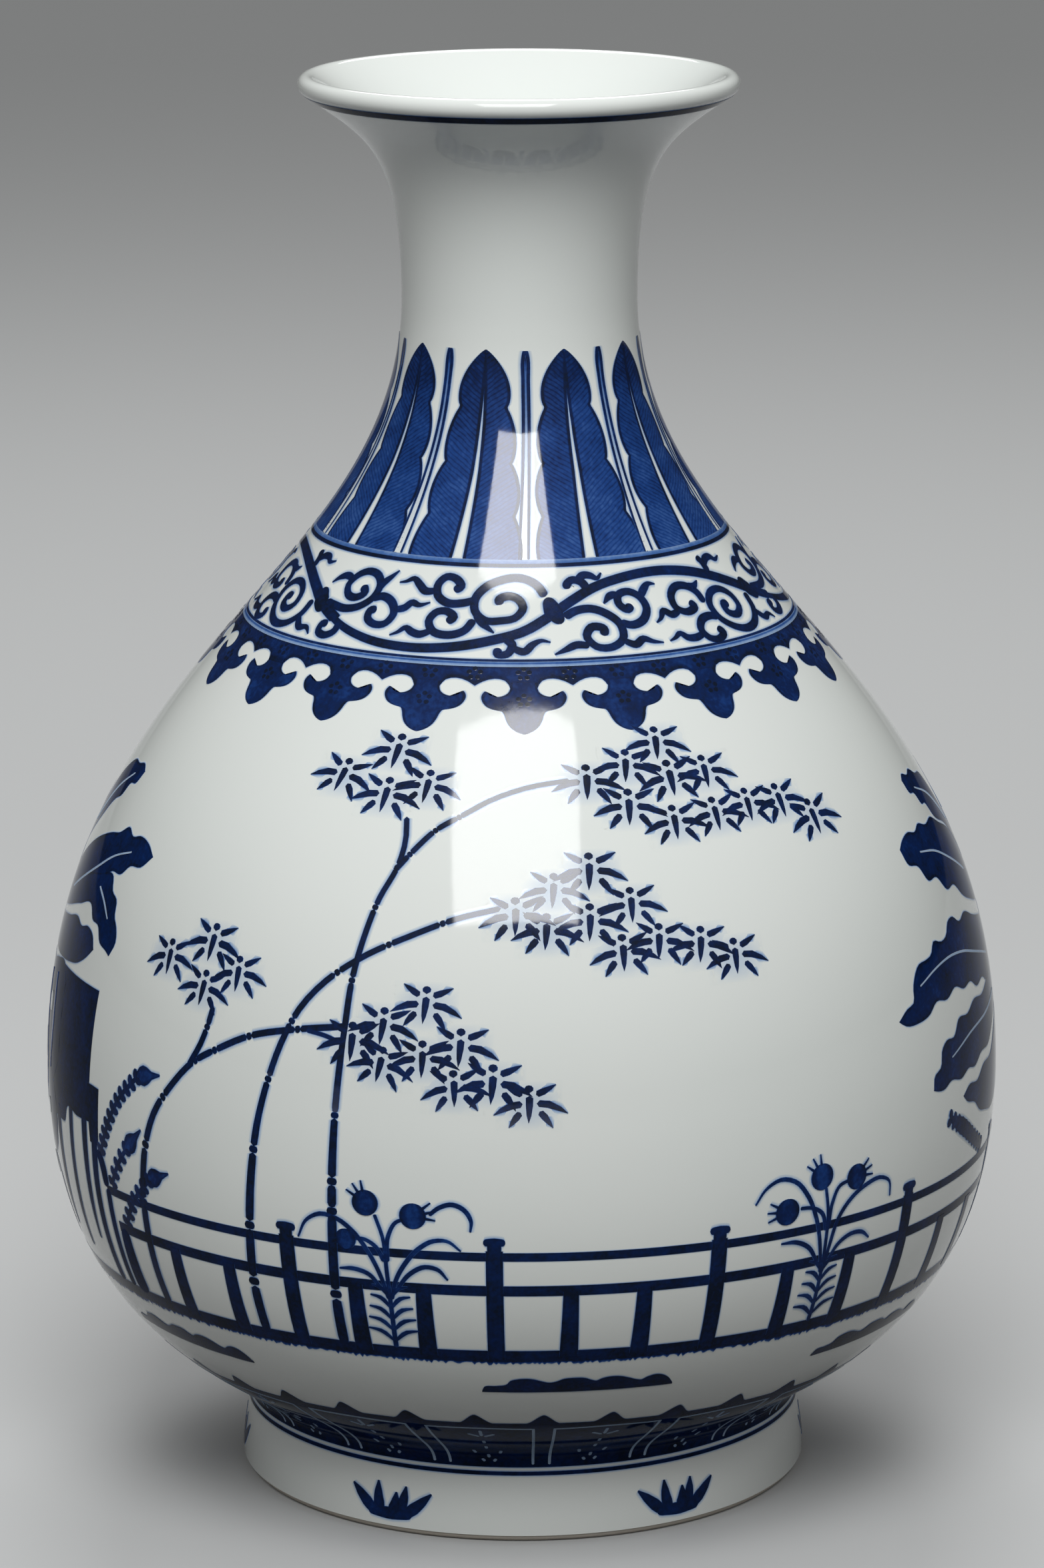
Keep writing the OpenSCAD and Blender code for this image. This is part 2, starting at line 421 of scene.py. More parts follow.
clay_out = layer(GLAZE_T, HIDDEN_ROWS)
clay_in = above(layer(GLAZE_T + WALL, HIDDEN_ROWS), FLOOR_Z)
inside = above(layer(2 * GLAZE_T + WALL, SEEN_ROWS), FLOOR_Z + GLAZE_T)
lip_r = LIP_T / 2
lip_clay_r = lip_r - GLAZE_T
outside_profile = np.vstack([
    layer(0, SEEN_ROWS), lip(lip_r, -90, 90), lip_centre - lip_r * out_of_lip,
    lip_centre - lip_clay_r * out_of_lip, lip(lip_clay_r, 90, -90), clay_out[::-1]])
inside_profile = np.vstack([[0, FLOOR_Z], clay_in, inside[::-1], [0, FLOOR_Z + GLAZE_T]])
skin("glazed_outside", outside_profile, white_glaze, "outer_glaze")
skin("glazed_inside", inside_profile, white_glaze, "inner_glaze")

# %% Turn the foot
RIM_POINTS = 8
rim_r = RIM[0] - GLAZE_T
ring_in_rim = rim_r - RING_W
ring_in_roof = np.interp(RECESS_Z, clay_out[:, 1], clay_out[:, 0]) - RING_W


def ring_in(z):
    """Inside of the foot ring: straight from its rim to the roof of the recess."""
    return [np.interp(z, [RIM[1], RECESS_Z], [ring_in_rim, ring_in_roof]), z]


edge = RIM[1]
ring_side = clay_out[(clay_out[:, 1] > edge + CLEAR) & (clay_out[:, 1] < RING_TOP_Z)]
ring_top = [np.interp(RING_TOP_Z, clay_out[:, 1], clay_out[:, 0]), RING_TOP_Z]
foot_profile = np.vstack([
    arc_points([ring_in_rim + edge, edge], edge, 180, 270, RIM_POINTS),
    arc_points([rim_r - edge, edge], edge, 270, 360, RIM_POINTS),
    ring_side, ring_top, ring_in(RING_TOP_Z)])
roof_z = RECESS_Z - GLAZE_T
coat = np.array([GLAZE_T, 0])
base_profile = np.vstack([[0, roof_z], ring_in(roof_z) - coat, ring_in(edge) - coat, ring_in(edge),
                          ring_in(RECESS_Z), [0, RECESS_Z]])
skin("bare_foot", foot_profile, biscuit, "foot_ring")
skin("glazed_base", base_profile, white_glaze, "base_glaze")

# %% [markdown]
# How the painter's strokes lie on the wall
#
# A picture on a vase could be an image wrapped round it. Here every stroke is a thin sheet of
# its own instead, a grid laid on the wall, so the edges stay crisp from any distance. A place is
# given as a painter would see it: degrees round the vase, with 0 in front and plus to the right,
# and millimetres of height. Widths are millimetres on the wall.

# %% Places on the wall
SINK = 0.06
LAYERS = 9
LAYER_STEP = 0.004
BAND_STEP = 0.8
BLEED_MM = np.array([0.12, 0.5])
BLEED_TONE = 0.2
BLEED_LIFT = np.array([0.15, 0.02])
DEGREE = np.pi / 180


def arc_at(z):
    """Length along the outline at a height."""
    return np.interp(z, OUTLINE[:, 1], ARC)


def radius_at(arc):
    """Radius of the wall at a length along the outline."""
    return np.interp(arc, ARC, OUTLINE[:, 0])


def height_at(arc):
    """Height of the wall at a length along the outline."""
    return np.interp(arc, ARC, OUTLINE[:, 1])


def on_wall(angle, arc, lift):
    """Point on the wall, moved out by the lift, and the way out of the wall there.

    The outline and its normal at that length are turned by the angle a to (r sin a, -r cos a, z)."""
    a = angle * DEGREE
    out_r, out_z = (np.interp(arc, ARC, k) for k in NORMAL.T)
    r = radius_at(arc)
    z = height_at(arc)
    out = np.stack(np.broadcast_arrays(out_r * np.sin(a), -out_r * np.cos(a), out_z), -1)
    foot = np.stack(np.broadcast_arrays(r * np.sin(a), -r * np.cos(a), z), -1)
    points = (foot + lift[..., None] * out) * MM
    return points, np.broadcast_to(out, points.shape)


def sheet_quads(rows, cols):
    """Corners of a closed sheet: the grid's face, its back turned round, and the rim between."""
    n = np.arange(rows * cols).reshape(rows, cols)
    face = np.stack([n[:-1, :-1], n[:-1, 1:], n[1:, 1:], n[1:, :-1]], -1).reshape(-1, 4)
    back = face[:, ::-1] + rows * cols
    edge = np.concatenate([n[0, :-1], n[:-1, -1], n[-1, :0:-1], n[:0:-1, 0]])
    following = np.roll(edge, -1)
    rim = np.stack([edge + rows * cols, following + rows * cols, following, edge], -1)
    return np.concatenate([face, back, rim])


# %% A painting gathers sheets into one piece
class Painting:
    """Thin closed sheets of colour on the wall, gathered to become one piece."""

    def __init__(self, lift):
        self.lift = lift
        self.parts = []
        self.count = 0
        self.sheets = 0

    def keep(self, placed, quads, tone, brush):
        """Points and their ways out, faces, tones and brush values, numbered on from the last sheet."""
        points, out = (p.reshape(-1, 3) for p in placed)
        self.parts.append((points, out, quads + self.count, tone, brush))
        self.count += len(points)

    def lay(self, angle, arc, tone, brush=(0.0, 0.0), rise=1.0):
        """One closed sheet for each grid of angle and arc in the last two axes.

        Each sheet lies a hair higher than the one before, in turn, so that crossing strokes never share
        a surface, and the rise multiplies its lift. Its two outer columns on each side, where the colour
        bleeds, slope down to the wall, so they pass under a neighbour. A grid that runs left-handed has
        its faces turned round."""
        angle, arc, tone = np.broadcast_arrays(angle, arc, tone)
        rows, cols = angle.shape[-2:]
        copies = angle.size // (rows * cols)
        angle, arc, tone = (g.reshape(copies, rows, cols) for g in (angle, arc, tone))
        step = (self.sheets + np.arange(copies)) % LAYERS * LAYER_STEP
        self.sheets += copies
        slope = np.concatenate([BLEED_LIFT[::-1], np.ones(cols - 4), BLEED_LIFT])
        face = (self.lift + step)[:, None, None] * slope * rise + 0 * angle
        both = np.stack([face, np.full(angle.shape, -SINK)], 1)
        placed = on_wall(angle[:, None], arc[:, None], both)
        across = [np.diff(g, axis=2)[:, :-1] for g in (angle, arc)]
        up = [np.diff(g, axis=1)[:, :, :-1] for g in (angle, arc)]
        left_handed = (across[0] * up[1] - across[1] * up[0]).sum((1, 2)) < 0
        quads = sheet_quads(rows, cols)
        quads = np.where(left_handed[:, None, None], quads[:, ::-1], quads)
        first = np.arange(copies)[:, None, None] * 2 * rows * cols
        tones = np.repeat(tone[:, None], 2, 1).ravel()
        brush = np.repeat(np.broadcast_to(brush, angle.shape + (2,))[:, None], 2, 1).reshape(-1, 2)
        self.keep(placed, (quads + first).reshape(-1, 4), tones, brush)

    def band(self, low, high, tones):
        """Closed band round the whole vase between two edges given as arcs at even angles.

        The tones are spread evenly across it, and past both edges the colour bleeds. Its back follows
        the wall down again, because a straight back would stand out of the hollow waist."""
        low, high = np.broadcast_arrays(low, high)
        cols = len(low)
        angle = np.linspace(0, 360, cols, endpoint=False)
        rows = max(len(tones), int((high - low).max() / BAND_STEP))
        share = np.linspace(0, 1, rows)
        core = np.interp(share, np.linspace(0, 1, len(tones)), tones)
        past = np.append(BLEED_MM, BLEED_MM[-1])[:, None]
        face = low + (high - low) * share[:, None]
        under = face[-2:0:-1]
        arc = np.concatenate([low - past[::-1], face, high + past, under])
        height = self.lift + self.sheets % LAYERS * LAYER_STEP
        edge = np.append(BLEED_LIFT * height, -SINK)
        lift = np.concatenate([edge[::-1], np.full(rows, height), edge, np.full(len(under), -SINK)])
        fade = np.array([BLEED_TONE, 0, 0])
        tone = np.concatenate([core[0] * fade[::-1], core, core[-1] * fade, np.zeros(len(under))])
        self.sheets += 1
        n = np.arange(arc.size).reshape(-1, cols)
        upper = np.roll(n, -1, 0)
        quads = np.stack([n, np.roll(n, -1, 1), np.roll(upper, -1, 1), upper], -1).reshape(-1, 4)
        self.keep(on_wall(angle, arc, lift[:, None]), quads, np.repeat(tone, cols), np.zeros((arc.size, 2)))

    def piece(self, name, finish):
        """The gathered sheets as one mesh, with the tone on its points and the brush as UV map.

        The wall's own normals shade it, so that the glaze runs on over the colour without a step."""
        points, out, quads, tone, brush = (np.concatenate(p) for p in zip(*self.parts))
        mesh = bpy.data.meshes.new(name)
        mesh.vertices.add(len(points))
        mesh.vertices.foreach_set("co", points.ravel())
        mesh.loops.add(quads.size)
        mesh.loops.foreach_set("vertex_index", quads.ravel().astype(np.int32))
        mesh.polygons.add(len(quads))
        mesh.polygons.foreach_set("loop_start", np.arange(0, quads.size, 4, dtype=np.int32))
        mesh.attributes.new("tone", "FLOAT", "POINT").data.foreach_set("value", tone.astype(np.float32))
        layout = mesh.uv_layers.new(name="brush")
        layout.data.foreach_set("uv", brush[quads.ravel()].astype(np.float32).ravel())
        mesh.update(calc_edges=True)
        mesh.validate()
        mesh.shade_smooth()
        mesh.normals_split_custom_set_from_vertices(out.tolist())
        mesh.materials.append(finish)
        piece = bpy.data.objects.new(name, mesh)
        bpy.context.collection.objects.link(piece)
        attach(piece, "root")
        print(name, "has", self.sheets, "sheets and", len(quads), "faces")
        return piece


# %% [markdown]
# Strokes and washes
#
# A brush stroke is a path with a width that changes along it: a soft curve through a few places,
# with side steps square to it. A wash fills the ground between two edges and has the darker
# outline that a painter draws first. Both run a little past their edge in pale blue, as
# cobalt bleeds into the glaze.

# %% Brush
BRISTLES = np.array([-1.0, -1.0, -0.97, -0.4, 0.4, 0.97, 1.0, 1.0])
STROKE_BLEED_MM = np.array([0.14, 0.75])
BLEEDS = np.concatenate([-STROKE_BLEED_MM[::-1], np.zeros(4), STROKE_BLEED_MM])
BRISTLE_TONE = np.array([0, BLEED_TONE, 1.0, 0.95, 0.95, 1.0, BLEED_TONE, 0])
EVEN_TONE = np.ones(len(BRISTLES))
LEAST_HALF = 0.02
END_BLEED = 0.25
LEAST_ROWS = 8
ROWS_PER_PLACE = 4


def eased(count):
    """Shares from 0 to 1, crowded at both ends by a cosine."""
    return (1 - np.cos(np.pi * np.linspace(0, 1, count))) / 2


def smooth_path(places, count, even_spread=False):
    """Soft curve through places on a plane: a chain of cubics with the slope of the neighbours."""
    places = np.asarray(places, float)
    way = way_along(places)
    slope = np.gradient(places, way, axis=0)
    at = (np.linspace(0, 1, count) if even_spread else eased(count)) * way[-1]
    k = np.clip(np.searchsorted(way, at) - 1, 0, len(way) - 2)
    h = (way[k + 1] - way[k])[:, None]
    t = (at - way[k])[:, None] / h
    a, b = places[k], places[k + 1]
    return ((1 + 2 * t) * (1 - t)**2 * a + t**2 * (3 - 2 * t) * b
            + t * (1 - t)**2 * h * slope[k] - t**2 * (1 - t) * h * slope[k + 1])


def square_to(heading):
    """Step of length one to the right of each heading."""
    return np.stack([heading[:, 1], -heading[:, 0]], -1) / np.hypot(*heading.T)[:, None]


def stroke_grid(path, width, bleed=1.0):
    """Rows along a path and columns across it, in millimetres, square to the path.

    The half-widths are spread evenly along the way, and each end is rounded to its width. The
    bleed widens the pale edge."""
    way = way_along(path)
    half = np.interp(way / way[-1], np.linspace(0, 1, len(width)), width)
    from_end = np.minimum(way, way[-1] - way)
    rounding = np.sqrt(1 - np.clip(1 - from_end / half, 0, 1)**2)
    half = half * rounding + LEAST_HALF
    spill = bleed * (END_BLEED + (1 - END_BLEED) * rounding)
    step = half[:, None] * BRISTLES + spill[:, None] * BLEEDS
    return path[:, None] + step[..., None] * square_to(np.gradient(path, axis=0))[:, None]


def to_plane(places, middle):
    """Degrees and heights as millimetres on the unrolled wall round a middle angle."""
    places = np.asarray(places, float)
    arc = arc_at(places[:, 1])
    return np.stack([(places[:, 0] - middle) * DEGREE * radius_at(arc), arc], -1)


def from_plane(plane, middle):
    """Millimetres on the unrolled wall back to degrees and lengths along the outline."""
    arc = plane[..., 1]
    return middle + plane[..., 0] / radius_at(arc) / DEGREE, arc


def lay_flat(painting, plane, middle, tone, turns=(0,), brush=(0.0, 0.0)):
    """Sheets drawn on the unrolled wall round a middle angle, repeated at each turn round the vase."""
    angle, arc = from_plane(plane, middle)
    painting.lay(np.asarray(turns, float)[:, None, None] + angle, arc, tone, brush)


def middle_of(places):
    """Middle angle of a drawing: the mean of its angles."""
    return np.mean([a for a, _ in places])


def stroke(painting, places, width, tone=0.9, rows=None, turns=(0,), across=BRISTLE_TONE):
    """One brush stroke through places, repeated at each turn round the vase.

    Where no count of rows is given, they follow the count of places."""
    middle = middle_of(places)
    rows = rows or LEAST_ROWS + ROWS_PER_PLACE * len(places)
    path = smooth_path(to_plane(places, middle), rows)
    lay_flat(painting, stroke_grid(path, width), middle, tone * across, turns)


def mirror(places, about):
    """Places on the other side of an upright line at an angle."""
    return [(2 * about - a, z) for a, z in places]


# %% Wash
OUTLINE_W = 0.42
SHARES = np.concatenate([np.zeros(5), [0.2, 0.4, 0.6, 0.8], np.ones(5)])
RIM_STEPS = np.append(-BLEED_MM[::-1], [0, OUTLINE_W, 1.7 * OUTLINE_W])
STEPS_IN = np.concatenate([RIM_STEPS, np.zeros(4), -RIM_STEPS[::-1]])
ROOM = 9 * OUTLINE_W
LEAST_REACH = 1e-6


def wash_tone(inner, edge):
    """Tones across a wash: pale bleed, dark outline, and the lighter colour within."""
    rim = np.array([0, BLEED_TONE, edge, edge])
    return np.concatenate([rim, np.full(6, inner), rim[::-1]])


def wash_grid(left, right):
    """Columns from one edge to the other, crowded at both to hold the outline."""
    reach = np.hypot(*(right - left).T)[:, None] + LEAST_REACH
    share = SHARES + STEPS_IN * np.minimum(1, reach / ROOM) / reach
    return left[:, None] + share[..., None] * (right - left)[:, None]


def wash(painting, left, right, tones, rows):
    """Outlined ground between two edges, each a soft curve through its places.

    The tones are those within and on the outline."""
    middle = middle_of(left)
    edges = [smooth_path(to_plane(side, middle), rows, True) for side in (left, right)]
    lay_flat(painting, wash_grid(*edges), middle, wash_tone(*tones))


# How far the washes, the lines and what lies over both stand off the wall, in millimetres
WASH = 0.06
LINE = 0.12
OVER = 0.18
print("brush of", len(BRISTLES), "columns, wash of", len(SHARES))

# %% [markdown]
# Rings round the vase
#
# The painter sets the vase on a turning wheel and holds the brush still, so the rings are true
# circles: one at the waist, and pairs with pale wash between them above and below the scroll.
# A dark ring also runs just under the lip.

# %% Ring lines
FINE_ROUND = 360
# The first dark ring runs just under the lip, the second at the waist
DARK_RINGS = [(283.1, 284.3, [1.0, 1.0]), (13.9, 14.6, [0.95, 0.95])]
SCROLL_RINGS = [(196.6, 197.3, [0.5, 0.36]), (196.05, 196.65, [0.96, 0.96]),
                (179.2, 179.95, [0.28, 0.3, 0.6, 0.3]), (179.98, 180.35, [0.86, 0.86])]


def ring(painting, low, high, tones):
    """Painted ring between two heights."""
    painting.band(np.full(FINE_ROUND, arc_at(low)), arc_at(high), tones)


def ringed(name, drawing, finish):
    """A piece of rings, each with its lower and upper height and the tones across it."""
    rings = Painting(LINE)
    for low, high, tones in drawing:
        ring(rings, low, high, tones)
    rings.piece(name, finish)


ringed("dark_rings", DARK_RINGS, matt_blue)
ringed("ring_lines", SCROLL_RINGS, brush_blue)

# %% [markdown]
# Plantain leaves on the neck
#
# Ten upright leaves stand round the neck with spears between them. A leaf's edge is a row of
# lobes, each an arch from one notch to the next, so its half-width is a function of the height.
# Two halves leave a white rib between them, and the veins are a ripple in the finish that
# follows each half's own lines.

# %% Neck leaves
LEAVES = 10
NECK_MIDDLE = 2.6
NECK_EASE = 1.9
NOTCH_Z = np.array([236.2, 225.0, 214.5, 205.0, 196.9])
NOTCH_W = np.array([0.0, 10.2, 12.9, 14.2, 16.2])
LOBE_SWELL = np.array([5.3, 2.8, 2.4, 1.2])
LOBE_FULLNESS = 0.7
RIB_Z = [197, 204, 213, 222, 228.5, 232]
RIB_HALF = [1.65, 1.35, 0.95, 0.6, 0.05, -0.4]
RIB_AT = [-1.6, -1.0, -0.2, 0, 0, 0]
FADE_Z = [197, 225, 236]
FADE_TONE = [0.60, 0.67, 0.84]
LEAF_EDGE = 0.93
LEAF_ROWS = 90
VEIN_SLANT = 0.75


def spaced(count, middle, ease, offset=0.0):
    """Even angles round the vase, drawn a little wider towards the front."""
    a = (np.arange(count) + offset) * 360 / count
    return middle + a + ease * np.sin(a * DEGREE)


def lobed(z):
    """Half-width of a leaf at a height: a straight line between notches plus an arch."""
    k = np.clip(np.searchsorted(-NOTCH_Z, -z) - 1, 0, len(LOBE_SWELL) - 1)
    t = (NOTCH_Z[k] - z) / (NOTCH_Z[k] - NOTCH_Z[k + 1])
    arch = np.sin(np.pi * np.clip(t, 0, 1))**LOBE_FULLNESS
    return NOTCH_W[k] * (1 - t) + NOTCH_W[k + 1] * t + LOBE_SWELL[k] * arch


leaf_z = np.linspace(NOTCH_Z[0] - CLEAR, NOTCH_Z[-1], LEAF_ROWS)
leaf_half = lobed(leaf_z)
rib_half, rib_at = (np.interp(leaf_z, RIB_Z, k) for k in (RIB_HALF, RIB_AT))
within = wash_tone(1, 0) == 1
fade = np.interp(leaf_z, FADE_Z, FADE_TONE)[:, None]
tone = np.where(within, fade, wash_tone(0, LEAF_EDGE))
leaf_turns = spaced(LEAVES, NECK_MIDDLE, NECK_EASE, 0.5)
neck_leaves = Painting(WASH)
for hand in (-1, 1):
    outer = np.stack([hand * leaf_half, leaf_z], -1)
    inner = np.stack([hand * np.minimum(rib_half, leaf_half) + rib_at, leaf_z], -1)
    plane = wash_grid(to_plane(outer, 0), to_plane(inner, 0))
    across_veins = plane[..., 1] - VEIN_SLANT * np.abs(plane[..., 0])
    brush = np.stack(np.broadcast_arrays(across_veins, within), -1)
    lay_flat(neck_leaves, plane, 0, tone, leaf_turns, brush)
neck_leaves.piece("neck_leaves", leaf_blue)

# %% Spears between the leaves
SPEAR_SIDES = [
    [(-0.4, 236.0), (-1.0, 234.8), (-1.15, 230.0), (-1.15, 222.0), (-1.7, 212.0), (-3.0, 197.4)],
    [(0.4, 236.0), (1.0, 234.8), (1.15, 230.0), (1.15, 222.0), (0.6, 212.0), (-0.4, 197.4)],
]
SPEAR_W = [0.28, 0.24, 0.2, 0.17]
SPEAR_ROWS = 40
POOL_Z = [197, 210, 222, 231, 233.6, 234.4]
POOL_TONE = [0.02, 0.1, 0.3, 0.46, 0.6, 0.95]
spear_turns = spaced(LEAVES, NECK_MIDDLE, NECK_EASE)
spears = Painting(LINE)
for side in SPEAR_SIDES:
    stroke(spears, side, SPEAR_W, 0.88, SPEAR_ROWS, spear_turns)
spears.piece("neck_spears", brush_blue)
spear_wash = Painting(WASH)
plane = wash_grid(*(smooth_path(to_plane(side, 0), SPEAR_ROWS, True) for side in SPEAR_SIDES))
tone = np.interp(height_at(plane[..., 1]), POOL_Z, POOL_TONE)
lay_flat(spear_wash, plane, 0, tone * (wash_tone(1, 1) == 1), spear_turns)
spear_wash.piece("spear_wash", brush_blue)

# %% [markdown]
# Scroll on the shoulder
#
# A stem waves three times round the shoulder, and each bay holds curls with flame-like leaves.
# The curls were drawn freehand, so each is a list of places that a brush passes; the three
# waves are the same drawing turned by a third of a circle.

# %% Places of the scroll
THIRDS = (0, 120, 240)
STEM = [(-60, 189.8), (-52, 186.8), (-44, 184.2), (-35, 182.4), (-25, 181.7), (-15, 182.2), (-6, 183.6),
        (1, 185.2), (6, 187.3), (12, 190), (19, 192.3), (27, 193.5), (36, 193.9), (46, 193.1),
        (54, 191.5), (61, 189.4), (68, 186.8), (75, 184.6)]
CURLS = [
    [(6, 191), (4, 193), (0, 194.2), (-5, 193.8), (-9, 192.4), (-11, 190.3), (-10.5, 188.3), (-8, 186.9),
     (-4.5, 186.9), (-1, 187.5), (0.6, 189.1), (-0.6, 190.6), (-3, 191.1), (-5.1, 190.4), (-4.7, 189.6)],
    [(-10.8, 190.3), (-14, 189.7), (-17.5, 189.6), (-20.5, 190.9), (-21, 192.7), (-19, 194.1),
     (-16.3, 193.7), (-15, 192.5), (-16.6, 191.8)],
    [(-10.6, 187), (-12.4, 185.1), (-16, 184.2), (-19.7, 184.8), (-21, 186.4), (-19.6, 188),
     (-17.2, 188.2), (-15.4, 187.2), (-16.8, 186.4)],
    [(-51, 187.2), (-48, 186.9), (-44, 186.7), (-40.2, 187.5), (-37.4, 189.4), (-37.1, 191.7),
     (-39.2, 193.2), (-42.4, 193.5), (-45.4, 192.5), (-46.9, 190.6), (-45.2, 189), (-42.6, 188.8),
     (-40.6, 189.8), (-42, 191)],
    [(-37.6, 189.1), (-34.8, 189.7), (-31.8, 188.9), (-30.2, 187), (-31.5, 185.2), (-34.2, 184.9),
     (-36.6, 185.9), (-36.6, 187.1), (-35, 187.3)],
    [(10, 187.4), (13, 188.4), (16.5, 188.6), (20.2, 187.5), (22.7, 185.5), (22.4, 183.2), (19.5, 181.9),
     (16, 182.2), (14.4, 184), (16, 185.5), (18.6, 185), (18.2, 183.9)],
    [(22.8, 185.9), (25.5, 185.3), (28.6, 186), (30.5, 188), (29.6, 190), (26.9, 191), (24.2, 190.5),
     (23.8, 189), (25.6, 188), (26.8, 188.8)],
    [(47.4, 187.2), (46.7, 189.2), (44.4, 190.5), (41, 190.7), (38.4, 189.2), (38.4, 187.2), (41, 186.2),
     (43.8, 187), (42.8, 187.8)],
    [(64, 186.8), (63, 184), (60, 182), (56, 181.4), (52, 182.4), (49.2, 184.4), (48.7, 186.6),
     (51, 188.5), (54.8, 188.8), (58, 187.2), (58.2, 185.2), (55.6, 184), (53, 184.9), (53.3, 186.2),
     (55, 186)],
    [(49, 184.5), (46.5, 184.9), (43.8, 184.5), (42.2, 182.8), (43.4, 181.3), (46, 180.9), (47.9, 181.8),
     (46.8, 182.7)],
    [(-43.5, 184.4), (-43.8, 182.6), (-46, 181.7), (-48.3, 182.3), (-48.2, 183.5), (-46.6, 183.6)],
    [(-3.4, 184), (-1.8, 182.8), (-2.8, 181.3), (-4.8, 181.3), (-4.6, 182.3)],
    [(16.8, 191.9), (15.4, 193.3), (12.9, 193.6), (11.7, 192.8), (12, 192.2)],
    [(54.8, 191.8), (55, 193), (54.6, 194), (53.7, 194.8)],
]
FLAMES = [
    [(-20.8, 191.6), (-24, 191.4), (-26, 192.4), (-28, 193.3), (-30, 192.7), (-31.8, 192.4)],
    [(-19.6, 184.9), (-22.5, 184), (-24.3, 184.3), (-26, 184.9), (-27.7, 184), (-29.3, 183.4)],
    [(-37.4, 190.2), (-36.2, 192), (-34.6, 193.2), (-33, 194.4)],
    [(-46.6, 191.8), (-49, 192.1), (-51, 191.6), (-53, 190.4)],
    [(-30.6, 187.7), (-28, 188.2), (-26.4, 189.2), (-24.5, 188.9), (-21.8, 189.5)],
    [(-10.4, 188), (-9, 186.7), (-7.4, 185.7), (-5.8, 184.8)],
    [(14.6, 182.4), (11.8, 182.6), (9.5, 181.9), (7, 181.1)],
    [(22.4, 182.8), (24.8, 182), (27, 182.8), (29, 182.2), (31.4, 181.8)],
    [(30, 189.9), (31.8, 191.2), (33.4, 191.9), (35.4, 191.7)],
    [(24.4, 190.6), (22.4, 190.6), (20, 189.3)],
    [(38.8, 186.7), (36.4, 186.2), (34.6, 187), (33, 185.8), (31.6, 185.2)],
    [(44.6, 190.5), (46.8, 190.2), (49, 191)],
    [(42.2, 182.2), (39.6, 181.8), (37.8, 182), (36.2, 182.9), (34.6, 182.3), (33, 181.9)],
    [(-57.4, 183.8), (-54.6, 182), (-52.4, 182.3), (-50.6, 181.3)],
    [(-2, 182.4), (0.8, 181.7), (2.6, 182.9), (4.4, 183.5), (6.4, 183.2)],
    [(14.4, 193.5), (16.6, 194.4), (18.4, 194.2), (19.8, 193.7), (21.4, 194.6)],
    [(55, 193.2), (57.4, 194.2), (59.6, 194.2), (61, 193.5), (63.6, 193.9)],
]
KNOTS = [[(6.4, 190.8), (7.5, 188.7), (9.2, 186.3)], [(-54.2, 189.4), (-53, 187.2), (-51, 185.3)]]
print("scroll of", len(CURLS), "curls and", len(FLAMES), "flames,", len(THIRDS), "times")

# %% Scroll band
STEM_W = [0.85, 0.92, 0.95, 0.92, 0.85]
STEM_ROWS = 110
CURL_W = [0.78, 0.82, 0.76, 0.72, 0.86]
FLAME_W = [0.6, 0.76, 0.7, 0.4, 0.06]
KNOT_W = [0.9, 1.9, 0.9]
scroll = Painting(LINE)
stroke(scroll, STEM, STEM_W, 0.96, STEM_ROWS, THIRDS)
for drawing, width, tone in ((CURLS, CURL_W, 0.95), (FLAMES, FLAME_W, 0.94), (KNOTS, KNOT_W, 0.98)):
    for places in drawing:
        stroke(scroll, places, width, tone, turns=THIRDS)
scroll.piece("scroll_band", brush_blue)

# %% [markdown]
# Lappets under the scroll
#
# Twenty cloud-shaped lappets hang from the lower ring. The upper part is one band whose lower
# edge arches over a white curl between neighbours, and each lappet's body is a grid from its
# left edge through its axis to its right edge. Darker blossoms are dabbed on top.

# %% Lappets
LAPPETS = 20
LAPPET_EASE = 1.9
LAPPET_MIDDLE = 0.6
LAPPET_TOP_Z = 179.15
LAPPET_TONE = 0.81
LAPPET_EDGE = 0.95
LAPPET_ROWS = 60
HALF_COLUMNS = 9
BAND_ROUND = 1440
BAND_TONES = [LAPPET_EDGE, LAPPET_EDGE, 0.84, LAPPET_TONE, LAPPET_TONE, 0.83, LAPPET_EDGE]
# The arch between two lappets, as degrees off an axis and heights
ARCH = [(0, 175.6), (2.5, 175.6), (2.75, 176.2), (3.4, 176.85), (4.4, 177.15), (5.4, 177.2),
        (6.5, 177.05), (7.6, 176.7), (8.4, 176.3), (9.0, 175.95)]
# One side of a lappet: degrees off its axis, height, and the height of that row on the axis
LAPPET_HALF = [
    (2.45, 176.5, 176.5), (2.5, 175.6, 175.5), (2.8, 174.9, 174.8), (3.6, 174.35, 174.0),
    (4.7, 174.1, 173.3), (5.8, 174.2, 172.7), (6.6, 174.55, 172.3), (7.1, 175.0, 172.0),
    (7.6, 174.6, 171.95), (7.8, 174.0, 171.9), (7.5, 173.2, 171.85), (6.8, 172.5, 171.8),
    (5.8, 172.05, 171.7), (4.7, 171.8, 171.55), (3.8, 171.6, 171.4), (3.45, 171.1, 171.0),
    (3.1, 170.2, 170.2), (2.5, 169.2, 169.3), (1.5, 168.4, 168.6), (0.6, 168.0, 168.2),
    (0.02, 167.85, 168.0),
]
from_middle = np.linspace(0, 360, BAND_ROUND, endpoint=False) - LAPPET_MIDDLE
evened = from_middle - LAPPET_EASE * np.sin(from_middle * DEGREE)
pitch = 360 / LAPPETS
off_axis = np.abs((evened + pitch / 2) % pitch - pitch / 2)
lappets = Painting(WASH)
lappets.band(arc_at(np.interp(off_axis, *np.transpose(ARCH))), arc_at(LAPPET_TOP_Z), BAND_TONES)
half = np.array(LAPPET_HALF)
corners = to_plane(half[:, :2], 0)
edge = smooth_path(corners, LAPPET_ROWS, True)
way = way_along(corners)
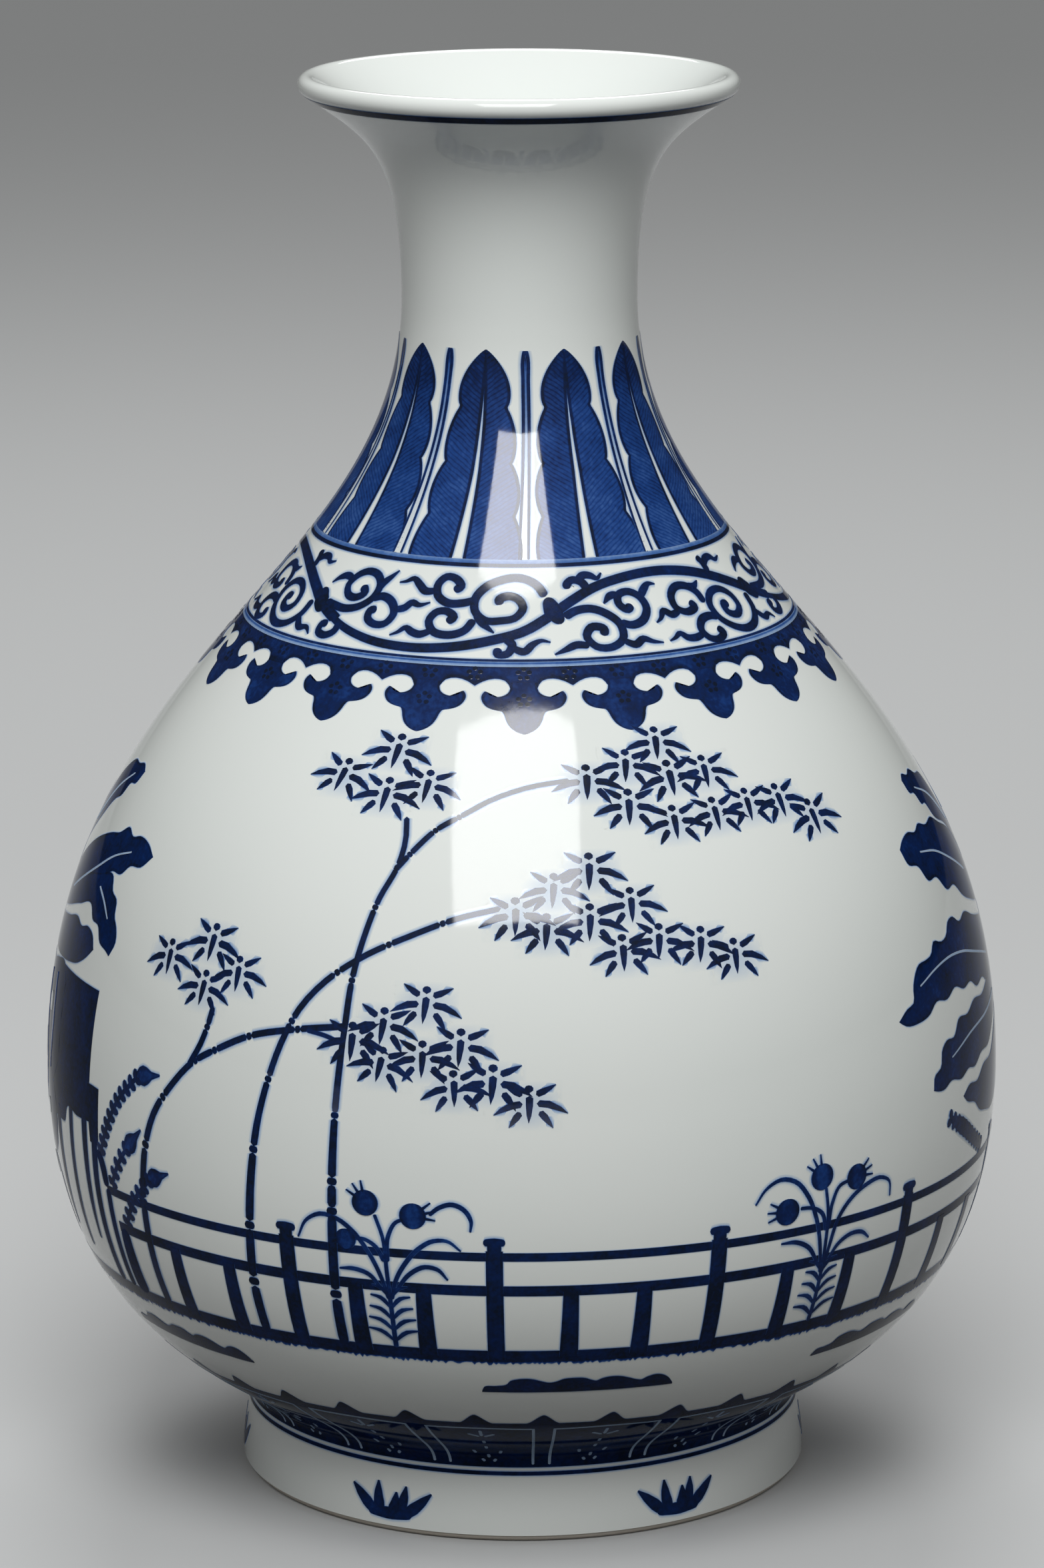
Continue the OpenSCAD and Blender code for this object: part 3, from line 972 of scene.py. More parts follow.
axis_z = np.interp(np.linspace(0, way[-1], LAPPET_ROWS), way, half[:, 2])
axis = np.stack([np.zeros(LAPPET_ROWS), arc_at(axis_z)], -1)
left = wash_grid(edge * [-1, 1], axis)[:, :HALF_COLUMNS]
left_tone = wash_tone(LAPPET_TONE, LAPPET_EDGE)[:HALF_COLUMNS]
plane = np.concatenate([left, axis[:, None], left[:, ::-1] * [-1, 1]], 1)
tone = np.concatenate([left_tone, [LAPPET_TONE], left_tone[::-1]])
lappet_turns = spaced(LAPPETS, LAPPET_MIDDLE, LAPPET_EASE)
lay_flat(lappets, plane, 0, tone, lappet_turns)
lappets.piece("lappets", brush_blue)

# %% Blossoms on the lappets
BLOSSOMS = [(173.5, lappet_turns), (177.95, lappet_turns), (178.0, lappet_turns + pitch / 2)]
PETALS = 5
PETAL_OUT = 1.15
PETAL_UP = 0.7 * PETAL_OUT
PETAL_HALF = 0.35
PETAL_W = [0.46]
PETAL_ROWS = 6
PETAL_TONE = np.where(BRISTLE_TONE > BLEED_TONE, 1, 0.84)
lappet_blossoms = Painting(LINE)
for heart, turns in BLOSSOMS:
    per_degree = radius_at(arc_at(heart)) * DEGREE
    for petal in (np.arange(PETALS) * 360 / PETALS + 90) * DEGREE:
        x = PETAL_OUT * np.cos(petal) / per_degree
        z = heart + PETAL_UP * np.sin(petal)
        dab = [(x, z - PETAL_HALF), (x, z), (x, z + PETAL_HALF)]
        stroke(lappet_blossoms, dab, PETAL_W, 1.0, PETAL_ROWS, turns, PETAL_TONE)
lappet_blossoms.piece("lappet_blossoms", brush_blue)

# %% [markdown]
# Bamboo
#
# Three bamboos lean over the garden, two to the right. A cane is a row of strokes with a bead at
# each joint. The leaves are tufts, and a tuft is one drawing of seven leaves and a dot, repeated
# at every place with its own small tilt and size. Small shapes that come back hundreds of times
# have few faces. Round each tuft the cobalt has run into the glaze as a pale haze.

# %% Places of the canes and their joints
CANES = [
    [(-33.4, 50.5), (-33.5, 62), (-33.1, 74), (-32.5, 86), (-31.8, 95), (-30.6, 103.7), (-29, 112),
     (-27.2, 118), (-25, 122.3), (-20, 128.3), (-14, 132.8), (-8, 136.3), (-2.6, 138.2)],
    [(-22.4, 50.5), (-22.4, 62), (-22.2, 75), (-22, 90), (-21.7, 102), (-21.2, 115), (-20.8, 125),
     (-20, 132), (-18.7, 139), (-16.8, 145), (-16.3, 149), (-16.7, 153.4)],
    [(-17.2, 144), (-15, 147.6), (-12, 151.5), (-8.6, 154), (-4, 157), (1, 158.9), (7.4, 160)],
    [(-50.5, 50.5), (-50.6, 62), (-50.2, 77), (-49.4, 85), (-48, 91.5), (-45, 98.5), (-41.8, 104),
     (-38, 107.8), (-33.5, 111.4), (-28, 113.7), (-20.8, 115.6)],
    [(-42.4, 103.2), (-40.8, 108), (-40, 112), (-39.6, 115.4)],
]
JOINTS = [
    [(-33.5, 61.8), (-33.1, 74), (-32.3, 89.4), (-30.6, 103.7), (-28.2, 115.4), (-22.8, 125),
     (-16.6, 131), (-10, 135.2)],
    [(-22.4, 61.7), (-22, 79.5), (-22, 85.4), (-21.8, 98.5), (-20.9, 124), (-19.1, 137.4),
     (-16.9, 144.8)],
    [(-15.4, 147), (-12.2, 151.3), (-9, 153.8)],
    [(-50.3, 72.6), (-49.4, 85), (-46.4, 95.8), (-41.4, 104.5), (-38.6, 107.2), (-33.8, 111.2),
     (-27.2, 113.9)],
    [(-40.2, 111.4)],
]
TWIG = [(-26, 114), (-23.6, 113.4), (-21.4, 112.3)]

# %% Canes
BEAD_ALONG = 0.8
BEAD_ACROSS = 1.3
BEAD_ROWS = 9
CANE_ROWS = 400
CANE_STEP = 1.5
CANE_Z = [50, 75, 85, 100, 120, 160]
CANE_HALF = [1.0, 0.88, 0.8, 0.6, 0.54, 0.42]
GAP_Z = [60, 75, 110]
GAP_MM = [0.3, 0.12, 0.0]
# Below this height a cane is drawn in the dimmed blue, painted shade where the floor's reflection is cut
# out, and above it in the glossy blue, a painted highlight under the soft box
LOW_CANES = 108
TWIG_W = [0.35]


def cane_width(z):
    """Half-width of a cane, thinner as it rises."""
    return np.interp(z, CANE_Z, CANE_HALF)


def joint_gap(z):
    """White left between a bead and the cane, closing as it rises."""
    return np.interp(z, GAP_Z, GAP_MM)


def behind(places):
    """The same drawing on the back of the vase, as in a mirror."""
    return mirror(places, 90)


def cane(low, high, places, joints):
    """A cane as rounded strokes from joint to joint, with a bead square to it at each joint.

    What stands below a height goes to the low painting and the rest to the high one."""
    middle = middle_of(places)
    path = smooth_path(to_plane(places, middle), CANE_ROWS, True)
    way = way_along(path)
    height = height_at(path[:, 1])
    nearest = [np.argmin(np.hypot(*(path - joint).T)) for joint in to_plane(joints, middle)]
    half = cane_width(height[nearest])
    clear = BEAD_ALONG * half + joint_gap(height[nearest])

    def draw(part, width):
        """One stroke, on the painting for its mean height."""
        grid = stroke_grid(part, width)
        is_low = grid[..., 1].mean() < arc_at(LOW_CANES)
        lay_flat(low if is_low else high, grid, middle, BRISTLE_TONE)

    for start, end in zip(np.append(0, way[nearest] + clear), np.append(way[nearest] - clear, way[-1])):
        at = start + (end - start) * eased(max(LEAST_ROWS, round((end - start) / CANE_STEP)))
        part = np.stack([np.interp(at, way, k) for k in path.T], -1)
        draw(part, cane_width(np.interp(np.linspace(start, end, 5), way, height)))
    side = square_to(np.gradient(path, axis=0)[nearest])
    for place, across, w in zip(path[nearest], side, half):
        cut = place + np.linspace(-1, 1, 3)[:, None] * BEAD_ACROSS * w * across
        draw(smooth_path(cut, BEAD_ROWS), [BEAD_ALONG * w])


low_canes = Painting(LINE)
canes = Painting(LINE)
for places, joints in zip(CANES, JOINTS):
    cane(low_canes, canes, places, joints)
    cane(low_canes, canes, behind(places), behind(joints))
for places in (TWIG, behind(TWIG)):
    stroke(canes, places, TWIG_W)
low_canes.piece("bamboo_low_canes", reflection_dimmed_blue)
canes.piece("bamboo_canes", brush_blue)

# %% Places of the tufts and the leaves of one
TUFTS = [
    (-41.6, 129.9), (-48.6, 125.2), (-36.8, 125), (-41.6, 121.2), (-11.4, 123.3), (-16.4, 119),
    (-20.2, 115.8), (-7.1, 115.8), (-11.6, 113.3), (-16.3, 111.7), (-7.9, 108), (-3.3, 109.2),
    (0.8, 105.3), (9.2, 147), (4.3, 143.7), (14.3, 140.7), (-0.8, 139.5), (8.8, 138.2), (3.2, 136.7),
    (12.6, 132.5), (17.5, 134), (23, 132.8), (27.2, 130), (-20.2, 166.7), (-28.2, 161.8), (-14.2, 161),
    (-20.5, 159.3), (23, 167.6), (17, 164.2), (10.2, 162), (23.5, 161.8), (29.8, 162), (16.2, 157.5),
    (22.5, 154.2), (29.2, 154.8), (35.2, 155.5), (41, 155.3), (46, 151.5),
]
TUFT_LEAVES = [
    ([(0, 0.74), (0, 0), (0, -0.74)], [0.76]),
    ([(0.05, -1.3), (-0.1, -3.5), (-0.4, -6.5)], [0.68, 0.66, 0.5, 0.34, 0.16]),
    ([(1.3, -1.1), (2.7, -0.6), (5.2, 0.6)], [0.54, 0.62, 0.42, 0.27, 0.12]),
    ([(-1.3, -1.1), (-2.6, -0.4), (-4.6, 0.9)], [0.54, 0.62, 0.42, 0.27, 0.12]),
    ([(1.35, -2.8), (3.9, -3.2), (7.2, -5.1)], [0.54, 0.66, 0.52, 0.34, 0.12]),
    ([(-1.35, -2.8), (-3.9, -3.15), (-7.0, -4.7)], [0.54, 0.66, 0.52, 0.34, 0.12]),
    ([(1.8, -4.4), (2.8, -5.6), (4.2, -7.7)], [0.54, 0.64, 0.46, 0.29, 0.12]),
    ([(-1.8, -4.4), (-2.8, -5.5), (-4.2, -7.2)], [0.54, 0.64, 0.46, 0.29, 0.12]),
]
print(len(TUFTS), "tufts on each side")

# %% Leaf tufts
LEAF_POINTS = 40
LEAF_STEPS = [0, 3, 14, 28, 39]
TUFT_COLUMNS = [0, 1, 2, 3, 5, 6, 7]
LEAF_BLEED = 0.28
LEAF_BLEED_BREADTH = 1.1
TUFT_TONE = np.array([0.02, LEAF_BLEED, 1.0, 0.9, 1.0, LEAF_BLEED, 0.02])
TUFT_DEPTH = 0.97
TILT_SPREAD = 4
SIZE_RANGE = (0.96, 1.06)
chance = np.random.default_rng(11)
drawn = np.stack([stroke_grid(smooth_path(path, LEAF_POINTS, True)[LEAF_STEPS], width, LEAF_BLEED_BREADTH)
                  for path, width in TUFT_LEAVES])[:, :, TUFT_COLUMNS]
print("tuft of", len(drawn), "strokes")


def tufts(painting, places):
    """The tuft drawing at each place: turned by a tilt, scaled, and moved there."""
    places = np.array(places)
    tilt = chance.normal(0, TILT_SPREAD, len(places)) * DEGREE
    size = chance.uniform(*SIZE_RANGE, len(places))
    turn = np.array([[np.cos(tilt), -np.sin(tilt)], [np.sin(tilt), np.cos(tilt)]]) * size
    x, y = np.einsum("ijt,lrcj->itlrc", turn, drawn)
    arc = arc_at(places[:, 1])[:, None, None, None]
    angle = places[:, 0][:, None, None, None] + x / radius_at(arc + y) / DEGREE
    painting.lay(angle, arc + y, TUFT_DEPTH * TUFT_TONE)


# %% Haze behind the tufts
HAZE_REACH = 6.4
HAZE_SQUASH = 0.75
HAZE_BELOW = -3.2
HAZE_TONE = 0.12
HAZE_LEAST = 0.02


def haze(painting, places):
    """Pale ground behind each tuft, falling off with the square of the distance from its heart.

    It stands higher where it is stronger, so where two meet the stronger one shows."""
    x, y = np.meshgrid(np.linspace(-HAZE_REACH, HAZE_REACH, 9), np.linspace(-HAZE_REACH, HAZE_REACH, 7))
    falling = np.clip(1 - (x**2 + y**2) / HAZE_REACH**2, HAZE_LEAST, 1)
    places = np.array(places)
    arc = arc_at(places[:, 1])[:, None, None] + HAZE_BELOW + HAZE_SQUASH * y
    angle = places[:, 0][:, None, None] + x / radius_at(arc) / DEGREE
    painting.lay(angle, arc, HAZE_TONE * falling, rise=falling)


tuft_haze = Painting(WASH)
for places in (TUFTS, behind(TUFTS)):
    haze(tuft_haze, places)
tuft_haze.piece("tuft_haze", haze_blue)
for name, places in (("bamboo_leaves", TUFTS), ("bamboo_leaves_behind", behind(TUFTS))):
    leaves = Painting(LINE)
    tufts(leaves, places)
    leaves.piece(name, brush_blue)

# %% [markdown]
# Plantain trees
#
# A plantain stands at each side, so its leaves reach into the picture from both. A leaf is a wash
# between a wavy upper and a wavy lower edge, from its tip to its foot at the trunk, with a pale
# rib. The half of each tree that faces away is the same tree in a mirror.

# %% Places of the plantains
# Each leaf has its upper and its lower edge, from the tip to the trunk
RIGHT_TREE = 91
LEFT_TREE = -93
RIGHT_LEAVES = [
    ([(73.2, 148.5), (74.4, 149.3), (77, 148.5), (79, 149), (82, 147.3), (85, 146.6), (88, 141),
      (91, 132)],
     [(73.2, 148.4), (73.6, 146), (75.4, 145.4), (76.2, 143), (78, 142.6), (79, 140), (84, 136.5),
      (91, 127)]),
    ([(61.6, 138.5), (63, 139.6), (66, 140.5), (68, 139.9), (70.5, 140.8), (73, 139.8), (77, 140),
      (80, 138), (85, 135), (91, 124)],
     [(61.6, 138.4), (62.2, 135.5), (64.6, 134.4), (66, 131.2), (69, 130.8), (71, 127.7), (74.6, 127.3),
      (77, 124.4), (82, 121.5), (91, 118)]),
    ([(51, 108.5), (53, 110.3), (54.4, 110.9), (55, 114), (57.2, 117.6), (59, 117.8), (60.6, 118.3),
      (62, 120.4), (64.2, 119.6), (66, 120.1), (67.6, 122.2), (69.8, 122.5), (71.6, 120.9), (75, 121.5),
      (79, 119.4), (91, 115)],
     [(51, 108.4), (52, 107.4), (55, 106.9), (57.6, 107.6), (59.6, 109.4), (62.4, 108.8), (65.4, 110.2),
      (68, 108.8), (71, 109.1), (73, 107.3), (77, 107.5), (80, 105), (91, 109)]),
    ([(57, 92.5), (57.3, 95), (59, 96.4), (59.6, 99.6), (61, 101), (63, 100.9), (65, 103.8), (68, 103.6),
      (71, 105.2), (75, 104.6), (80, 106), (91, 106)],
     [(57, 92.4), (58, 91.9), (59.6, 91.7), (61.4, 92.7), (64.4, 91.9), (67, 93), (69, 92.4), (72, 94),
      (76, 94), (80, 96.5), (91, 101)]),
    ([(65, 88), (67, 89.4), (70, 89), (73, 91), (77, 91.2), (82, 95), (91, 98)],
     [(65, 87.9), (66, 86.6), (69, 85), (71, 82.6), (74, 81.2), (78, 80), (83, 82), (91, 90)]),
]
LEFT_LEAVES = [
    ([(-74, 150.5), (-76, 151.4), (-79, 150.7), (-82, 150.6), (-86, 148), (-93, 135)],
     [(-74, 150.4), (-75, 148), (-77.4, 147.2), (-78.6, 144.6), (-81, 143), (-85, 138), (-93, 129)]),
    ([(-58.5, 138.5), (-61, 140.3), (-64, 140.8), (-66, 140.1), (-68.5, 141.2), (-71, 139.4),
      (-74, 138.4), (-78, 136.5), (-93, 124)],
     [(-58.5, 138.4), (-60.4, 136), (-63.4, 135.2), (-65, 133.2), (-68, 132.8), (-71, 130.2), (-75, 129),
      (-80, 124.5), (-93, 120)]),
    ([(-61.5, 118.3), (-60.7, 121), (-61.6, 124), (-62.7, 125.4), (-63.6, 128.4), (-65.6, 129.6),
      (-67, 132), (-72, 131), (-93, 121)],
     [(-61.6, 118.2), (-62.6, 118.8), (-65, 119.8), (-66.7, 122.4), (-69, 122.8), (-71, 125),
      (-76, 123.5), (-82, 121), (-93, 117)]),
    ([(-66.3, 117.8), (-67.5, 120), (-70, 121), (-72.5, 120.2), (-75, 121), (-80, 119.5), (-93, 116)],
     [(-66.3, 117.7), (-68, 115.6), (-70.5, 113.6), (-74, 112.4), (-80, 111.4), (-93, 111)]),
]
RIBS = [
    [(67, 136.4), (72, 135), (77, 132), (84, 127)],
    [(56.5, 113.6), (61, 115.5), (65, 116.2), (70, 115.5), (75, 113.5), (83, 110)],
    [(62, 97.2), (68, 99.6), (76, 100.6), (84, 102)],
    [(77, 146), (82, 143.4), (88, 136)],
    [(-64.5, 137.6), (-69, 135.5), (-74, 131.6), (-84, 124)],
    [(-64.5, 124.5), (-67, 127), (-70, 129)],
    [(-78, 149), (-83, 145), (-89, 136)],
]
TRUNKS = [[(91, 50), (90.4, 90), (91, 128)], [(-93, 106), (-92.7, 118), (-93, 130)]]
print(len(RIGHT_LEAVES) + len(LEFT_LEAVES), "leaves drawn, and as many in the mirror")

# %% Plantain leaves
LEAF_TONES = (0.88, 0.97)
PLANTAIN_ROWS = 60
TRUNK_W = [3.4, 2.6, 2.0]
TRUNK_ROWS = 50
RIB_W = [0.04, 0.12, 0.14, 0.12]
RIB_ROWS = 30
plantains = Painting(WASH)
ribs = Painting(OVER)
for tree_at, leaves in ((RIGHT_TREE, RIGHT_LEAVES), (LEFT_TREE, LEFT_LEAVES)):
    for upper, lower in leaves:
        wash(plantains, upper, lower, LEAF_TONES, PLANTAIN_ROWS)
        wash(plantains, mirror(upper, tree_at), mirror(lower, tree_at), LEAF_TONES, PLANTAIN_ROWS)
for trunk in TRUNKS:
    stroke(plantains, trunk, TRUNK_W, 0.85, TRUNK_ROWS)
plantains.piece("plantain_leaves", reflection_dimmed_blue)
for rib in RIBS:
    tree_at = RIGHT_TREE if rib[0][0] > 0 else LEFT_TREE
    for places in (rib, mirror(rib, tree_at)):
        stroke(ribs, places, RIB_W, 0.22, RIB_ROWS)
ribs.piece("plantain_ribs", reflection_dimmed_blue)

# %% [markdown]
# Rock and foxtails
#
# At the far left stands a garden rock with foxtail grass on both sides of it. The rock is made of
# outlined washes: three boulders on each other, an overhang and a ledge, with stone legs, holes
# worn through it and paler streaks down its folds. A foxtail is an axis with short barbs on
# both sides and a solid head that ends in a beak.

# %% Places of the rock
# Boulders, overhang and ledge have an upper and a lower edge, and a leg has places and widths
ROCK_MIDDLE = -84.5
BOULDERS = [
    ([(-105, 60), (-104, 65.6), (-101, 69.6), (-96, 72.4), (-90, 71), (-85, 72), (-81, 69.4),
      (-78.8, 65), (-78, 60)],
     [(-105, 59.9), (-104.6, 55), (-102.4, 51.4), (-97, 51), (-91, 51.2), (-86, 51), (-81, 51.4),
      (-78.6, 55), (-78, 59.9)]),
    ([(-107.4, 79), (-106.6, 84.4), (-103.6, 88.4), (-98, 91), (-91, 91), (-84, 91), (-79, 88),
      (-76, 84), (-75.4, 79)],
     [(-107.4, 78.9), (-106.8, 73.6), (-104, 70), (-98.4, 67.4), (-92.4, 69.4), (-86.4, 67.6),
      (-80.6, 69.4), (-76.8, 73.6), (-75.4, 78.9)]),
    ([(-109.4, 95), (-108.6, 99), (-106, 101), (-106.6, 104), (-104, 107.6), (-100, 108.8),
      (-96.6, 107), (-93, 107.4), (-89, 109.4), (-85, 109), (-81, 110.4), (-76, 111), (-74, 108)],
     [(-109.4, 94.9), (-108.8, 91), (-106, 87.6), (-101, 86), (-95, 87.6), (-89, 85.6), (-83, 87.4),
      (-78, 86), (-74, 92)]),
]
OVERHANG = ([(-77, 111), (-72, 111), (-67, 111), (-62.1, 111)],
            [(-77, 80.2), (-73, 80.4), (-71, 80.8), (-69.8, 84.2), (-66, 84), (-62.4, 84.4)])
LEDGE = ([(-63, 92.2), (-61.5, 92.2), (-59.8, 92)], [(-62.2, 80.4), (-61, 80.3), (-60, 80.4)])
LEGS = [
    ([(-61, 82), (-61.3, 74), (-61.4, 62), (-61.4, 51)], [1.2, 1.1, 1.0, 1.0]),
    ([(-60.2, 79.5), (-59.3, 77), (-58.6, 72.4)], [1.1, 1.2, 1.0]),
    ([(-58.4, 72), (-58.4, 60), (-58.5, 51)], [0.9, 0.85, 0.85]),
    ([(-56, 64.5), (-56, 57), (-55.9, 50.5)], [1.5, 1.9, 2.1]),
    ([(-63.9, 86), (-63.9, 74), (-64.2, 58.8)], [1.3, 1.1, 0.9, 0.25]),
    ([(-68.4, 86), (-68.6, 74), (-69.2, 55)], [1.1, 0.95, 0.9, 0.5]),
    ([(-74, 83), (-74.2, 70), (-74.8, 57)], [1.6, 1.2, 1.3, 0.5]),
]
# Each hole has its angle, its height, and half its length and breadth
HOLES = [
    (-101.5, 95, 3.4, 1.9), (-94, 99.5, 2.4, 1.5), (-87.5, 90, 3.2, 1.8), (-82, 101, 2.0, 1.3),
    (-98, 80, 2.6, 1.5), (-91, 72, 3.6, 2.0), (-84, 66, 2.4, 1.4), (-101, 64, 2.8, 1.6),
    (-95, 58, 1.8, 1.2), (-82, 79, 1.7, 1.1),
]
STREAKS = [
    [(-105.6, 101), (-106, 92), (-103.6, 82), (-104.8, 72)],
    [(-98.4, 104), (-97.8, 95), (-100, 87), (-101.6, 76), (-99, 66)],
    [(-91.4, 105), (-91, 96), (-93, 86), (-94.6, 74), (-97.6, 62)],
    [(-85, 106.6), (-84.6, 97), (-83.4, 88), (-86.6, 78), (-88.4, 66), (-87, 55)],
    [(-79.4, 108), (-78.8, 98), (-79.6, 88)],
]
print(len(BOULDERS), "boulders,", len(LEGS), "legs and", len(HOLES), "holes")

# %% Rock
ROCK_TONES = (0.93, 0.98)
LEDGE_TONES = (0.95, 0.98)
BOULDER_ROWS = 80
OVERHANG_ROWS = 60
LEDGE_ROWS = 16
HOLE_LEAN = 0.2
HOLE_TONE = 0.04
HOLE_ROWS = 13
STREAK_W = [0.1, 0.4, 0.5, 0.3, 0.05]
STREAK_TONE = 0.6
STREAK_ROWS = 20
rock = Painting(WASH)
for boulder in BOULDERS:
    wash(rock, *boulder, ROCK_TONES, BOULDER_ROWS)
wash(rock, *OVERHANG, ROCK_TONES, OVERHANG_ROWS)
wash(rock, *LEDGE, LEDGE_TONES, LEDGE_ROWS)
for places, width in LEGS:
    stroke(rock, places, width, 0.95)
rock.piece("garden_rock", matt_blue)
rock_folds = Painting(OVER)
for a, z, tall, wide in HOLES:
    hole = [(a, z - tall), (a + HOLE_LEAN, z), (a, z + tall)]
    stroke(rock_folds, hole, [wide], HOLE_TONE, HOLE_ROWS, across=EVEN_TONE)
for places in STREAKS:
    stroke(rock_folds, places, STREAK_W, STREAK_TONE, STREAK_ROWS, across=EVEN_TONE)
rock_folds.piece("rock_folds", brush_blue)

# %% Barbs and heads
BARB_EVERY = 2.0
BARB_OPEN = 42 * DEGREE
BARB_TONE = 0.94 * TUFT_TONE
BARB_PATH = [(0, 0), (0.9, 0.2), (2.0, 0.7)]
BARB_W = [0.72, 0.76, 0.3]
BARB = stroke_grid(smooth_path(BARB_PATH, 5), BARB_W)[:, TUFT_COLUMNS]
BUD_TONE = np.where(BRISTLE_TONE == 0.95, 0.8, BRISTLE_TONE)
BUD_ROWS = 15
SPIKE_FAN = (-24, 0, 24)
SPIKE_OUT = (0.85, 1.3, 1.75)
SPIKE_W = [0.24, 0.14, 0.05]
SPIKE_ROWS = 8
HEAD_ALONG = (-1.3, 0, 1.2, 2.5)
HEAD_W = np.array([0.35, 0.85, 1.0, 0.8, 0.36, 0.2, 0.06])
print("barb of", BARB.shape[0], "rows and", BARB.shape[1], "columns")


def barbs(painting, places):
    """Short strokes on both sides of an axis, each turned out from the axis's own heading."""
    middle = middle_of(places)
    plane = to_plane(places, middle)
    path = smooth_path(plane, max(3, round(way_along(plane)[-1] / BARB_EVERY)), True)
    heading = np.arctan2(*np.gradient(path, axis=0).T[::-1])
    for hand in (-1, 1):
        turn = (heading + hand * BARB_OPEN)[:, None, None]
        x, y = BARB[..., 0], hand * BARB[..., 1]
        turned_out = [np.cos(turn) * x - np.sin(turn) * y, np.sin(turn) * x + np.cos(turn) * y]
        lay_flat(painting, path[:, None, None] + np.stack(turned_out, -1), middle, BARB_TONE)


def towards(a, z, crown, distances):
    """Places at distances from a place on the wall towards an angle on it."""
    per_degree = radius_at(arc_at(z)) * DEGREE
    x, y = np.cos(crown * DEGREE) / per_degree, np.sin(crown * DEGREE)
    return [(a + d * x, z + d * y) for d in distances]


def bud(painting, a, z, r, crown, tone):
    """Round bud of a radius with three spikes towards an angle, as wide a stroke as it is long."""
    stroke(painting, [(a, z - r), (a, z), (a, z + r)], [r], tone, BUD_ROWS, across=BUD_TONE)
    for fan in SPIKE_FAN:
        stroke(painting, towards(a, z, crown + fan, r * np.array(SPIKE_OUT)), SPIKE_W, tone, SPIKE_ROWS)


def head(painting, a, z, r, crown, tone):
    """Head of a foxtail: a stroke towards an angle that swells to a radius and runs out in a beak."""
    stroke(painting, towards(a, z, crown, r * np.array(HEAD_ALONG)), r * HEAD_W, tone, across=BUD_TONE)


# %% Foxtails
# Each foxtail has the places of its axis, and its head's angle, height, radius and tilt
FOXTAILS = [
    ([(-59.4, 79.4), (-57.6, 85.4), (-55, 92), (-51.6, 97.4)], (-50, 98.6, 2.0, 12)),
    ([(-57.2, 73.4), (-55.8, 77.4), (-53.6, 82)], (-52.4, 84, 2.0, 45)),
    ([(-55, 66), (-53, 71), (-49.4, 77.2)], (-48, 78.6, 1.9, 22)),
]
FOXTAIL_RIGHT = [(73, 74), (69, 77.6), (65, 81.6), (61.3, 84.8)]
AXIS_W = [0.5, 0.45]
PLUME_W = [0.9, 1.3, 1.6, 1.7, 0.7]
foxtails = Painting(LINE)
for axis, (a, z, r, crown) in FOXTAILS:
    for places in (axis, mirror(axis, ROCK_MIDDLE)):
        stroke(foxtails, places, AXIS_W, 0.93)
        barbs(foxtails, places)
    head(foxtails, a, z, r, crown, 0.96)
    head(foxtails, 2 * ROCK_MIDDLE - a, z, r, 180 - crown, 0.96)
for places in (FOXTAIL_RIGHT, mirror(FOXTAIL_RIGHT, RIGHT_TREE)):
    stroke(foxtails, places, PLUME_W, 0.93)
    barbs(foxtails, places)
foxtails.piece("foxtail_grass", reflection_dimmed_blue)

# %% [markdown]
# Fence
#
# A low fence runs round to the rock on both sides. Its rails are long washes, and its posts and
# balusters are upright planks of one drawing each, repeated at their angles, with a round cap on
# each post. The posts stand where the painter set them in front and evenly behind, and two
# balusters share each space. The bottom rail is a ring, and grass frays it.

# %% Fence
BOTTOM_RAIL = (48.7, 51.2)
# Each upper rail has the angle where it starts, and its lower and upper height
UPPER_RAILS = [(-57.0, 63.7, 65.8), (-58.6, 71.1, 72.8)]
RAIL_ROWS = 330
RAIL_TONES = (0.93, 0.97)
FRINGE_ROUND = 1200
FRINGE_TOP = 0.4
FRINGE_LEAST = 0.15
FRINGE_MORE = 0.75
FRINGE_RARITY = 1.6
FRINGE_TONES = [0.5, 0.85, 0.95]
POSTS = np.concatenate([[-28.2, -3.2, 23.2], np.linspace(52, 248, 8)])
THIRDS_OF_SPACE = (0.335, 0.665)
SPACED_BALUSTERS = [POSTS[:-1] + np.diff(POSTS) * third for third in THIRDS_OF_SPACE]
BALUSTERS = np.concatenate([[-45.8, -37.0], *SPACED_BALUSTERS])
# Each plank has its lower and upper height, its half-width at both, and its tone
POST = (49.2, 73.2, 1.6, 1.6, 0.93)
COLLAR = (72.9, 74.6, 1.3, 1.35, 0.93)
BALUSTER = (49.8, 64.6, 1.75, 1.45, 0.92)
PLANK_ROWS = 10
PLANK_EDGE = 0.05
CAP = [(-1.27, 74.9), (0, 75.05), (1.27, 74.9)]
CAP_W = [0.66, 0.76, 0.66]
CAP_ROWS = 11


def plank(painting, angles, low_z, high_z, half_low, half_high, tone):
    """Upright plank between two heights, repeated at each angle, with straight ends."""
    z = np.linspace(low_z, high_z, PLANK_ROWS)
    side = np.stack([np.linspace(half_low, half_high, PLANK_ROWS), arc_at(z)], -1)
    lay_flat(painting, wash_grid(side * [-1, 1], side), 0, wash_tone(tone, tone + PLANK_EDGE), angles)


def rail(painting, start, low_z, high_z):
    """Rail from an angle round to the rock's far side: the same columns across at every angle."""
    angle = np.linspace(start, 2 * ROCK_MIDDLE - start + 360, RAIL_ROWS)
    edges = [np.stack([0 * angle, arc_at(z) + 0 * angle], -1) for z in (low_z, high_z)]
    painting.lay(angle[:, None], wash_grid(*edges)[..., 1], wash_tone(*RAIL_TONES))


